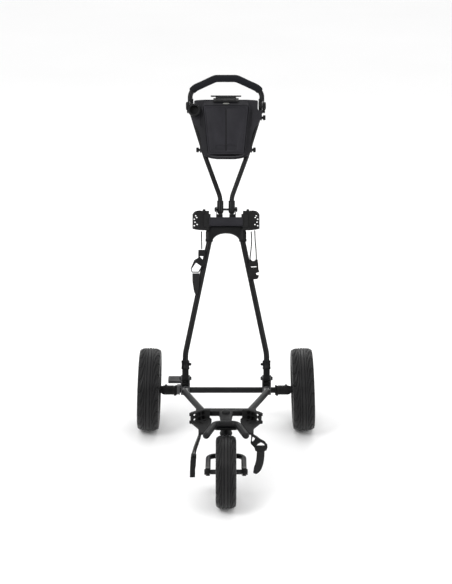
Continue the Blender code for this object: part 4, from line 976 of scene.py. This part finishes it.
# ---- swivelling fork ----------------------------------------------------------------------------
swivel = at(0, SWIVEL_FORWARD, 0)
FRONT_FORWARD = AXLE_Y - FRONT_AXLE.y
stem = [(0.1000, 0), (0.1000, 0.0140), (0.1250, 0.0150), (0.1600, 0.0150), (0.1620, 0.0162),
        (0.1700, 0.0165), (0.1765, 0.0155), (0.1765, 0.0101), (0.2180, 0.0101), (0.2190, 0.0090),
        (0.2190, 0)]
points = [at(x, f, z) for x, f, z in ((-0.0555, 0.5555, 0.110), (-0.0555, 0.437, 0.102),
                                      (0.0555, 0.437, 0.102), (0.0555, 0.5555, 0.110))]
tips = []
for side, s in SIDES:
    outline = arc(FRONT_FORWARD, FRONT_AXLE.z, 0.0125, -100, 100, 32) + [(0.5450, 0.1180), (0.5450, 0.1030)]
    tips.append(prism(outline, -0.0060, 0.0060, AHEAD, UP, at(s * 0.0555, 0, 0)))
piece("wheel_yoke", tube(rounded(points, 0.024, 12), 0.0082, 32, start_normal=-AHEAD, end_normal=AHEAD),
      TUBE, "fork", ["fork_yoke"], welds=tips, cuts=[rod(0.0054, -0.08, 0.08, FRONT_AXLE, X, 36)],
      edge=0.0008, segments=2)
piece("stem_crown", block(at(0, 0.4375, 0.1065), (0.046, 0.031, 0.029)), BRACKET, "fork", ["fork_stem"],
      welds=[lathe(stem, swivel, UP, 64, 0.0008)],
      cuts=[rod(0.0086, -0.04, 0.04, at(0, 0.437, 0.102), X, 40)], edge=0.0022)
half = [(0.0280, 0.006), (0.0280, 0.0085), (0.0300, 0.0085), (0.0310, 0.0076), (0.0470, 0.0076),
        (0.0480, 0.0085), (0.0490, 0.0085), (0.0490, 0.005), (0.0618, 0.005), (0.0618, 0.0095),
        (0.0640, 0.0098), (0.0655, 0.0092), (0.0667, 0.0070), (0.0668, 0)]
piece("front_spindle", lathe(mirrored(half), FRONT_AXLE, X, 48, 0.0005), DARK_STEEL, "fork", ["front_axle"])

# ---- mast ---------------------------------------------------------------------------------------
UP_COLLAR = 0.0345
for side, s in SIDES:
    foot = on_mast(s * BRACKET_X, 0)
    outline = arc(0, 0, 0.0105, 180, 360, 30) + [(0.0092, 0.034), (-0.0092, 0.034)]
    collar = [(UP_COLLAR - 0.004, 0), (UP_COLLAR - 0.004, 0.0125), (UP_COLLAR - 0.0026, 0.0137),
              (UP_COLLAR + 0.0030, 0.0137), (UP_COLLAR + 0.0042, 0.0130), (UP_COLLAR + 0.0180, 0.0130),
              (UP_COLLAR + 0.0192, 0.0137), (UP_COLLAR + 0.025, 0.0137), (UP_COLLAR + 0.0262, 0.0127),
              (UP_COLLAR + 0.0262, 0.0098), (UP_COLLAR, 0.0098), (UP_COLLAR, 0)]
    bolt = [(0.0125, 0), (0.0125, 0.0056), (0.0150, 0.0056), (0.0150, 0.0050), (0.0190, 0.0050),
            (0.0202, 0.0040), (0.0202, 0)]
    split = block(foot + ALONG * (UP_COLLAR + 0.011) + X * (-s * 0.0132), (0.0060, 0.034, 0.0016), X, ALONG)
    piece(f"mast_foot_{side}", prism(outline, -0.0109, 0.0109, FACE, ALONG, foot), BRACKET, "mast",
          [f"mast_knuckle_{side}"], cuts=[rod(0.0042, -0.03, 0.03, foot, X, 36), split],
          welds=[turned(collar, foot, ALONG, 64),
                 lathe(bolt, on_mast(s * BRACKET_X, UP_COLLAR + 0.013), Vector((-s, 0, 0)), 6, 0.0004)],
          edge=0.0007, segments=2)
    points = [(BRACKET_X, UP_COLLAR + 0.0003), (BRACKET_X, mast_up(0.256)), (0.057, UP_BRACKET - 0.0003)]
    path = rounded([on_mast(s * a, b) for a, b in points], 0.10, 16)
    piece(f"mast_leg_{side}", tube(path, MAST_R, 40, end_normal=ALONG), TUBE, "mast", [f"mast_tube_{side}"],
          crease=50)

# arched bracket, with its sockets stepped round the tube ends and a seam up its middle
outline = [(0.0455, UP_BRACKET), (0.0690, UP_BRACKET), (0.0690, UP_BRACKET + 0.031),
           (0.0640, UP_BRACKET + 0.0455), (0.0520, UP_BRACKET + 0.0504), (-0.0520, UP_BRACKET + 0.0504),
           (-0.0640, UP_BRACKET + 0.0455), (-0.0690, UP_BRACKET + 0.031), (-0.0690, UP_BRACKET),
           (-0.0455, UP_BRACKET)]
outline += [(0.0455 * math.cos(math.pi * (1 - k / 40)), UP_BRACKET + 0.028 * math.sin(math.pi * k / 40))
            for k in range(1, 40)]
welds = []
for _, s in SIDES:
    welds.append(mast_block(s * 0.0572, UP_BRACKET + 0.0035, 0, (0.0255, 0.0060, 0.0262)))
    welds.append(mast_block(s * 0.0585, UP_BRACKET + 0.0260, 0.0120, (0.0016, 0.0400, 0.0016)))
welds.append(mast_block(0, UP_BRACKET + 0.0400, 0.0120, (0.0014, 0.0180, 0.0014)))
welds.append(mast_block(0, UP_BRACKET + 0.0470, 0.0120, (0.1020, 0.0024, 0.0016)))
piece("arch", mast_prism(outline, -0.0118, 0.0118), BRACKET, "mast", ["arch_bracket"], welds=welds,
      edge=0.0012, segments=2, sharp=40)

# crossbar of the upper cradle, with the posts and ears that carry the cross bolt
outline = round_corners([(-0.057, UP_BAR), (0.057, UP_BAR), (0.057, UP_BAR + 0.029),
                         (-0.057, UP_BAR + 0.029)], 0.005, 6)
lines = [mast_block(0, UP_BAR + lift, 0.0310, (0.1060, 0.0012, 0.0012)) for lift in (0.0045, 0.0245)]
post_low, post_high = UP_BAR + 0.020, UP_FOLD - 0.0172
posts = []
for _, s in SIDES:
    posts.append(mast_block(s * 0.0223, (post_low + post_high) / 2, 0.00825,
                            (0.0226, post_high - post_low, 0.0075)))
    outline_ear = [(0.0045, post_low), (0.0120, post_low)] + arc(0, UP_FOLD, 0.0095, -20, 215, 30)
    inner, outer = sorted((-s * 0.0310, -s * 0.0336))
    posts.append(prism(outline_ear, inner, outer, FACE, ALONG, MAST_FOOT))
piece("cradle_bar", mast_prism(outline, 0.004, 0.031), CONSOLE, "mast", ["upper_crossbar"], cuts=lines,
      edge=0.0030)
piece("fold_posts", posts[0], BRACKET, "mast", welds=posts[1:],
      cuts=[rod(0.0043, -0.05, 0.05, on_mast(0, UP_FOLD), X, 36)], edge=0.0007, segments=2)

half = [(0.0339, 0.004), (0.0339, 0.0075), (0.0350, 0.0085), (0.0378, 0.0085), (0.0390, 0.0070), (0.0392, 0)]
piece("fold_bolt", lathe(mirrored(half), on_mast(0, UP_FOLD), X, 48, 0.0006), DARK_STEEL, "mast",
      ["cross_bolt"])

# ---- upper cradle -------------------------------------------------------------------------------
PAD_COLUMNS, PAD_ROWS, PAD_UP = 40, 36, 0.5335
pad_spine = smooth_path([Vector((0.0575, 0.0190, 0)), Vector((0.0780, 0.0190, 0)),
                         Vector((0.0950, 0.0310, 0)), Vector((0.1105, 0.0445, 0))], PAD_COLUMNS + 1)


def pad_spot(s, column, rise):
    spot = pad_spine[max(0, min(PAD_COLUMNS, column))]
    return on_mast(s * spot.x, PAD_UP + rise, spot.y)


def pad_shell(s):
    """Shell that wraps the bag: swept outwards and forwards, a raised lattice inside a rolled rim."""
    bm = bmesh.new()
    layers = []
    for face in (1.0, -1.0):
        grid = []
        for i in range(PAD_COLUMNS + 1):
            share = i / PAD_COLUMNS
            top = 0.0330 * math.sqrt(max(0.0, 1.0 - max(0.0, (share - 0.55) / 0.52) ** 2.4))
            bottom = -0.0330 + 0.0030 * share ** 6
            way = pad_spot(s, i + 2, 0.0) - pad_spot(s, i - 2, 0.0)
            normal = way.cross(ALONG).normalized()
            if normal.dot(FACE) < 0:
                normal = -normal
            line = []
            for j in range(PAD_ROWS + 1):
                v = j / PAD_ROWS
                edge_near = min(PAD_COLUMNS - i, j, PAD_ROWS - j)
                rim_bead = 0.0016 * math.exp(-((edge_near - 1.5) / 1.6) ** 2)
                one = math.sin((share * 9.0 + v * 7.0) * math.pi)
                other = math.sin((share * 9.0 - v * 7.0) * math.pi)
                net = 0.0012 * max(math.exp(-(one / 0.32) ** 2), math.exp(-(other / 0.32) ** 2))
                thick = 0.0036 + rim_bead + (net if edge_near > 2 else 0.0)
                spot = pad_spot(s, i, bottom + (top - bottom) * v)
                line.append(bm.verts.new(spot + normal * (face * thick)))
            grid.append(line)
        layers.append(grid)
    for grid in layers:
        for i in range(PAD_COLUMNS):
            for j in range(PAD_ROWS):
                bm.faces.new((grid[i][j], grid[i + 1][j], grid[i + 1][j + 1], grid[i][j + 1]))
    front, back = layers
    border = [(i, 0) for i in range(PAD_COLUMNS)] + [(PAD_COLUMNS, j) for j in range(PAD_ROWS)]
    border += [(i, PAD_ROWS) for i in range(PAD_COLUMNS, 0, -1)] + [(0, j) for j in range(PAD_ROWS, 0, -1)]
    for (a, b), (c, d) in zip(border, border[1:] + border[:1]):
        bm.faces.new((front[a][b], front[c][d], back[c][d], back[a][b]))
    return bm


for side, s in SIDES:
    holes = []
    for column, rise in ((37, -0.0200), (35, -0.0080), (37, 0.0020), (30, 0.0085), (29, -0.0150),
                         (33, 0.0140)):
        holes.append(rod(0.0026, -0.03, 0.03, pad_spot(s, column, rise), FACE, 12, 0.0))
    bridge = mast_block(s * 0.0640, PAD_UP, 0.0190, (0.0240, 0.0440, 0.0120))
    knob = rod(0.0048, 0.0, 0.0120, on_mast(s * 0.0740, 0.5600, 0.0190), ALONG, 24, 0.0016)
    piece(f"cradle_pad_{side}", pad_shell(s), RUBBER, "mast", [f"upper_wing_{side}"], welds=[bridge, knob],
          cuts=holes, edge=0.0008, segments=2, sharp=50, crease=55)

# ---- handle frame -------------------------------------------------------------------------------
for side, s in SIDES:
    profile = [(-0.0165, 0), (-0.0163, 0.0040), (-0.0155, 0.0062), (-0.0143, 0.0079), (-0.0125, 0.0093),
               (-0.0100, 0.0104), (-0.0070, 0.0112), (0.0240, 0.0112), (0.0246, 0.0107), (0.0256, 0.0107),
               (0.0262, 0.0112), (0.0285, 0.0112), (0.0300, 0.0100), (0.0300, 0)]
    foot = on_mast(s * 0.0195, UP_FOLD)
    points = [(0.0195, UP_FOLD + 0.0100), (0.0200, mast_up(0.743)), (0.071, mast_up(0.871)),
              (TILT_X - 0.0050, UP_TILT - 0.0152)]
    path = rounded([on_mast(s * a, b) for a, b in points], 0.07, 14)
    if side == "left":
        # big round clamp knob, ribbed round its edge
        disc = [(0.0003, 0), (0.0003, 0.0135), (0.0010, 0.0145), (0.0100, 0.0145), (0.0122, 0.0128),
                (0.0130, 0.0095), (0.0132, 0)]
    else:
        disc = [(0.0003, 0), (0.0003, 0.0130), (0.0010, 0.0138), (0.0095, 0.0138), (0.0115, 0.0122),
                (0.0125, 0.0070), (0.0127, 0)]

    def fluted(turn, along, radius):
        return radius - 0.0007 * (0.5 + 0.5 * math.cos(turn * 18)) * (radius > 0.0130)

    piece(f"handle_leg_{side}", tube(path, HANDLE_R, 36, end_normal=ALONG), TUBE, "handle",
          [f"handle_tube_{side}"],
          welds=[turned(softened(profile, 0.0006, 2), foot, ALONG, 48),
                 turned(softened(disc, 0.0006, 2), on_mast(s * TILT_X, UP_TILT), Vector((s, 0, 0)), 72,
                        wave=fluted),
                 mast_block(s * (TILT_X + 0.0049), UP_TILT - 0.0160, 0, (0.0092, 0.0160, 0.0120))],
          cuts=[rod(0.0043, -0.02, 0.02, foot, X, 36)], edge=0.0006, segments=2, sharp=45, crease=50)

LOOP_X, BOW_CORNER = 0.1225, 0.984
loop = [(-LOOP_X, UP_TILT + 0.0152), (-LOOP_X, BOW_CORNER), (-0.036, mast_up(1.116)),
        (0.036, mast_up(1.116)), (LOOP_X, BOW_CORNER), (LOOP_X, UP_TILT + 0.0152)]
CORNER_STEPS = 16
bow_line = rounded([on_mast(a, b) for a, b in loop], 0.040, CORNER_STEPS)
welds = []
for _, s in SIDES:
    disc = [(0.0003, 0), (0.0003, 0.0135), (0.0010, 0.0145), (0.0120, 0.0145), (0.0130, 0.0135), (0.0130, 0)]
    welds.append(turned(softened(disc, 0.0006, 2), on_mast(s * TILT_X, UP_TILT), Vector((-s, 0, 0)), 64))
    welds.append(mast_block(s * (TILT_X - 0.0066), UP_TILT + 0.0160, 0, (0.0120, 0.0160, 0.0120)))
piece("handle_bow", tube(bow_line, LOOP_R, 36), TUBE, "grip", ["handle_loop"], welds=welds, edge=0.0006,
      segments=2, sharp=45, crease=50)

# foam grip: a soft sleeve, slightly fuller between its rolled ends, with a moulding seam inside the bow
half_corner = 1 + CORNER_STEPS // 2
grip_line = evenly(bow_line[half_corner:-half_corner], 260)
grip_rings = sweep_rings(grip_line, GRIP_R, 40)
bow_middle = on_mast(0, 0.9700)
for k, ring in enumerate(grip_rings):
    centre = grip_line[k]
    from_end = min(length_of(grip_line[:k + 1]), length_of(grip_line[k:]))
    fuller = 1.0 - 0.16 * math.exp(-(from_end / 0.0020) ** 2) + 0.012 * math.sin(from_end * 95.0)
    inward = (bow_middle - centre).normalized()
    for i, spot in enumerate(ring):
        spoke = (spot - centre).normalized()
        seam = 0.0006 * math.exp(-((1.0 - spoke.dot(inward)) / 0.010) ** 2)
        ring[i] = centre + spoke * (GRIP_R * fuller - seam)
bore = sweep_rings(grip_line, LOOP_R + 0.0003, 40)
grip = piece("foam_sleeve", loft(grip_rings + bore[::-1], closed=True), FOAM, "grip", ["foam_grip"],
             crease=60)

# ---- console ------------------------------------------------------------------------------------
flank = [(0.030, 0.7440), (0.055, 0.7480), (0.070, 0.7550), (0.0765, 0.7620), (0.0880, 0.8190),
         (0.0960, 0.8450), (0.1040, 0.8610), (0.1120, 0.8670), (0.1250, 0.9080), (0.1240, 0.9125),
         (0.1095, 0.9130), (0.1085, 0.9400), (0.1040, 0.9455), (0.0700, 0.9480)]
tray = [(0.030, 0.7490), (0.050, 0.7520), (0.060, 0.7570), (0.0645, 0.7630), (0.0690, 0.8100),
        (0.0720, 0.8450), (0.0738, 0.8600), (0.0748, 0.8690), (0.0790, 0.9030), (0.0798, 0.9080),
        (0.0800, 0.9120), (0.0800, 0.9180), (0.0780, 0.9245), (0.0650, 0.9260)]
inner = [(0.030, 0.7516), (0.049, 0.7545), (0.0580, 0.7590), (0.0620, 0.7640), (0.0665, 0.8100),
         (0.0695, 0.8450), (0.0713, 0.8600), (0.0723, 0.8690), (0.0765, 0.9030), (0.0773, 0.9080),
         (0.0775, 0.9120), (0.0775, 0.9165), (0.0755, 0.9215), (0.0640, 0.9228)]
CONSOLE_BACK, CONSOLE_STEP, CONSOLE_RIM, CONSOLE_FLOOR = 0.0092, 0.0180, 0.0405, 0.0125


def both_sides(half):
    return half + [(-a, b) for a, b in half[::-1]]


def finer(outline, steps=4):
    """The outline's long smooth sides divided along a curve through its points."""
    line = smooth_path([Vector((a, b, 0)) for a, b in outline], len(outline) * steps)
    return [(spot.x, spot.y) for spot in line]


def ring_at(outline, out, rise=0.0):
    return [on_mast(a, b + rise * max(0.0, min(1.0, (b - 0.9205) / 0.0055)), out)
            for a, b in both_sides(finer(outline))]


levels = [ring_at(flank, CONSOLE_BACK), ring_at(flank, CONSOLE_STEP), ring_at(tray, CONSOLE_STEP, 0.0200),
          ring_at(tray, CONSOLE_RIM), ring_at(inner, CONSOLE_RIM), ring_at(inner, CONSOLE_FLOOR)]
welds, cuts = [], []
for name, x, up in (("lower_left", -0.0777, 0.7780), ("lower_right", 0.0777, 0.7780),
                    ("upper_right", 0.1113, 0.8890)):
    welds.append(mast_block(x, up, -0.0005, (0.0230, 0.0150, 0.0225)))
    way = on_mast(math.copysign(TILT_X, x), UP_TILT) - on_mast(math.copysign(0.071, x), mast_up(0.871))
    cuts.append(rod(0.0083, -0.04, 0.04, on_mast(x, up), way, 40))
for k in range(5):
    height = 0.7700 + 0.0300 * k
    welds.append(mast_block(0, height, CONSOLE_BACK, (0.110, 0.0020, 0.0024)))
for _, s in SIDES:
    welds.append(mast_block(s * 0.0885, 0.8850, CONSOLE_STEP, (0.0014, 0.0560, 0.0016)))
piece("console_body", loft(levels), SHELL, "handle", ["console_tray"], welds=welds, cuts=cuts, edge=0.0016,
      segments=3, sharp=38, crease=50)

# a divider across the inside of the tray
inside = mast_prism(round_corners([(-0.0560, 0.8060), (0.0560, 0.8060), (0.0560, 0.8074), (-0.0560, 0.8074)],
                                  0.0004, 2), CONSOLE_FLOOR - 0.001, 0.0200)
piece("tray_divider", inside, CONSOLE, "handle", edge=0.0004, segments=2)

lid_outline = [(-0.0560, 0.7560), (0.0560, 0.7560), (0.0605, 0.7600), (0.0650, 0.8100), (0.0755, 0.9120),
               (0.0755, 0.9210), (-0.0755, 0.9210), (-0.0755, 0.9120), (-0.0650, 0.8100), (-0.0605, 0.7600)]
panel_edge = [(-0.0520, 0.7620), (0.0520, 0.7620), (0.0562, 0.7660), (0.0606, 0.8110), (0.0700, 0.9060),
              (0.0700, 0.9150), (-0.0700, 0.9150), (-0.0700, 0.9060), (-0.0606, 0.8110), (-0.0562, 0.7660)]
groove_out = mast_prism(round_corners(panel_edge, 0.005, 5), 0.0443, 0.0480)
groove_in = [(a * 0.972, 0.8385 + (b - 0.8385) * 0.985) for a, b in panel_edge]
recess = both_sides([(0.0270, 0.7720), (0.0345, 0.7740), (0.0365, 0.7810), (0.0340, 0.7865),
                     (0.0200, 0.7885)])
lid_cuts = [mast_block(0, 0.8390, 0.0449, (0.0034, 0.1440, 0.0024)),
            mast_prism(round_corners(recess, 0.003, 4), 0.0429, 0.0480), groove_out]
piece("console_cover", mast_prism(round_corners(lid_outline, 0.004, 5), 0.0409, 0.0449), CONSOLE, "lid",
      ["console_lid"], cuts=lid_cuts, edge=0.0009)
panel_cuts = [mast_block(0, 0.8390, 0.0452, (0.0034, 0.1440, 0.0030)),
              mast_prism(round_corners(recess, 0.003, 4), 0.0430, 0.0480)]
# painted shade: a thin strip of the darkest black laid in the bottom of the lid's groove, so the groove
# reads as a dark line
piece("lid_groove_painted_shade", mast_block(0, 0.8390, 0.0441, (0.0030, 0.1430, 0.0010)), BRACKET, "lid", edge=0.0003,
      segments=2)
piece("cover_panel", mast_prism(round_corners(groove_in, 0.005, 5), 0.0441, 0.0452), CONSOLE, "lid",
      cuts=panel_cuts, edge=0.0004, segments=2)

# slanted top: badge, score card clip on its pin
SLANT = (FACE * 0.740 - ALONG * 0.672).normalized()
SLANT_OUT = (FACE * 0.672 + ALONG * 0.740).normalized()
badge_middle = on_mast(0, 0.9297, 0.0360) + SLANT_OUT * 0.0006
badge = [(0.0115 * math.cos(math.tau * k / 64), 0.0040 * math.sin(math.tau * k / 64)) for k in range(64)]
dish = [(a * 0.86, b * 0.72) for a, b in badge]
piece("badge_plate", prism(badge, 0.0, 0.0014, X, -SLANT, badge_middle), BADGE, "handle", ["badge"],
      cuts=[prism(dish, 0.0010, 0.0030, X, -SLANT, badge_middle)], edge=0.0003, segments=2)
clip_pivot = joint_at("clip_open")
outline = [(-0.0340, 0.9484), (0.0340, 0.9484), (0.0340, 0.9600), (0.0305, 0.9600), (0.0305, 0.9518),
           (-0.0305, 0.9518), (-0.0305, 0.9600), (-0.0340, 0.9600)]
piece("clip_seat", mast_prism(outline, 0.0095, 0.0150), PLASTIC, "handle", ["clip_mount"],
      welds=[rod(0.0014, -0.0355, 0.0355, clip_pivot, X, 24, 0.0003)], edge=0.0008, segments=2)
outline = arc(0, 0, 0.0030, -24, -156, 16)
outline += round_corners([(-0.0040, -0.0011), (-0.0095, -0.0011), (-0.0095, 0.0013), (-0.0040, 0.0013)],
                         0.0006, 3)
outline += arc(0, 0, 0.0030, -204, -336, 16)
outline += round_corners([(0.0200, 0.0013), (0.0290, 0.0013), (0.0290, -0.0011), (0.0200, -0.0011)], 0.0006,
                         3)
clip_cuts = []
for _, s in SIDES:
    clip_cuts.append(block(clip_pivot + X * (s * 0.0452) + SLANT * 0.0002, (0.0300, 0.012, 0.0124), X,
                           SLANT_OUT))
    clip_cuts.append(block(clip_pivot + X * (s * 0.0555) + SLANT * 0.0200, (0.0250, 0.012, 0.0400), X,
                           SLANT_OUT))
clip_ribs = [block(clip_pivot + SLANT * (0.0200 + 0.0026 * k) + SLANT_OUT * 0.0013, (0.070, 0.0008, 0.0010),
                   X, SLANT_OUT) for k in range(3)]
clip_ribs.append(block(clip_pivot - SLANT * 0.0075, (0.1040, 0.0040, 0.0035), X, SLANT_OUT))
piece("card_clip", prism(outline, -0.052, 0.052, SLANT, SLANT_OUT, clip_pivot), PLASTIC, "clip",
      ["scorecard_clip"], cuts=clip_cuts + [rod(0.0017, -0.06, 0.06, clip_pivot, X, 24)], welds=clip_ribs,
      edge=0.0006, segments=2)

# umbrella holder: a socket with a stepped collar
profile = [(0.0184, 0), (0.0184, 0.0160), (0.0230, 0.0190), (0.0300, 0.0210), (0.0340, 0.0210),
           (0.0346, 0.0205), (0.0360, 0.0205), (0.0366, 0.0210), (0.0430, 0.0210), (0.0445, 0.0197),
           (0.0445, 0.0150), (0.0250, 0.0150), (0.0250, 0)]
piece("umbrella_socket", lathe(profile, on_mast(-0.1080, 0.9085), FACE, 72, 0.0008), PLASTIC, "handle",
      ["umbrella_holder"])

for name in ("lower_left", "lower_right", "upper_right"):
    joint = JOINTS[f"knob_turn_{name}"]
    foot, out = Vector(joint["pos_m"]), Vector(joint["axis"]).normalized()
    profile = [(0, 0), (0, 0.0045), (0.0030, 0.0045), (0.0030, 0.0078), (0.0038, 0.0088), (0.0108, 0.0088),
               (0.0120, 0.0076), (0.0122, 0.0040), (0.0116, 0.0034), (0.0116, 0)]

    def lobes(turn, along, radius):
        return radius - 0.0009 * (0.5 - 0.5 * math.cos(turn * 6)) * (radius > 0.0070)

    piece(f"thumb_knob_{name}", turned(softened(profile, 0.0006, 2), foot, out, 72, wave=lobes), PLASTIC,
          f"knob_{name}", [f"clamp_knob_{name}"])

# ---- surroundings and floor ---------------------------------------------------------------------


def surroundings():
    """White all round, dimmer high up in front, so that dark faces turned that way stay dark."""
    world = bpy.data.worlds.new("studio")
    world.use_nodes = True
    tree = world.node_tree
    way = add(tree, "SeparateXYZ", Vector=add(tree, "TexCoord").outputs["Generated"])
    in_front = spread(tree, way.outputs[1], 1.0, 0.0, -0.6, 0.0)
    high_up = spread(tree, way.outputs[2], 0.0, 1.0, 0.12, 0.35)
    dimmed = math_node(tree, "MULTIPLY", in_front, high_up)
    background = tree.nodes["Background"]
    background.inputs["Color"].default_value = (1.0, 1.0, 1.0, 1.0)
    tree.links.new(spread(tree, dimmed, 1.0, 0.30, 0.0, 1.0), background.inputs["Strength"])
    bpy.context.scene.world = world


surroundings()


def floor_material():
    made, tree, shader = start_material("studio_floor", 0.85)
    where = add(tree, "TexCoord").outputs["Object"]
    tree.links.new(tones(tree, noise(tree, where, 0.8, 2.0),
                         ((0.3, (0.93, 0.93, 0.93)), (0.7, (0.95, 0.95, 0.95)))),
                   shader.inputs["Base Color"])
    return made


floor_mesh = bpy.data.meshes.new("studio_floor")
FLOOR_HALF, FLOOR_DROP = 30.0, 0.0004
floor_corners = [(a * FLOOR_HALF, b * FLOOR_HALF, -FLOOR_DROP)
                 for a, b in ((-1, -1), (1, -1), (1, 1), (-1, 1))]
floor_mesh.from_pydata(floor_corners, [], [(0, 1, 2, 3)])
floor = bpy.data.objects.new("studio_floor", floor_mesh)
bpy.context.scene.collection.objects.link(floor)
floor_mesh.materials.append(floor_material())
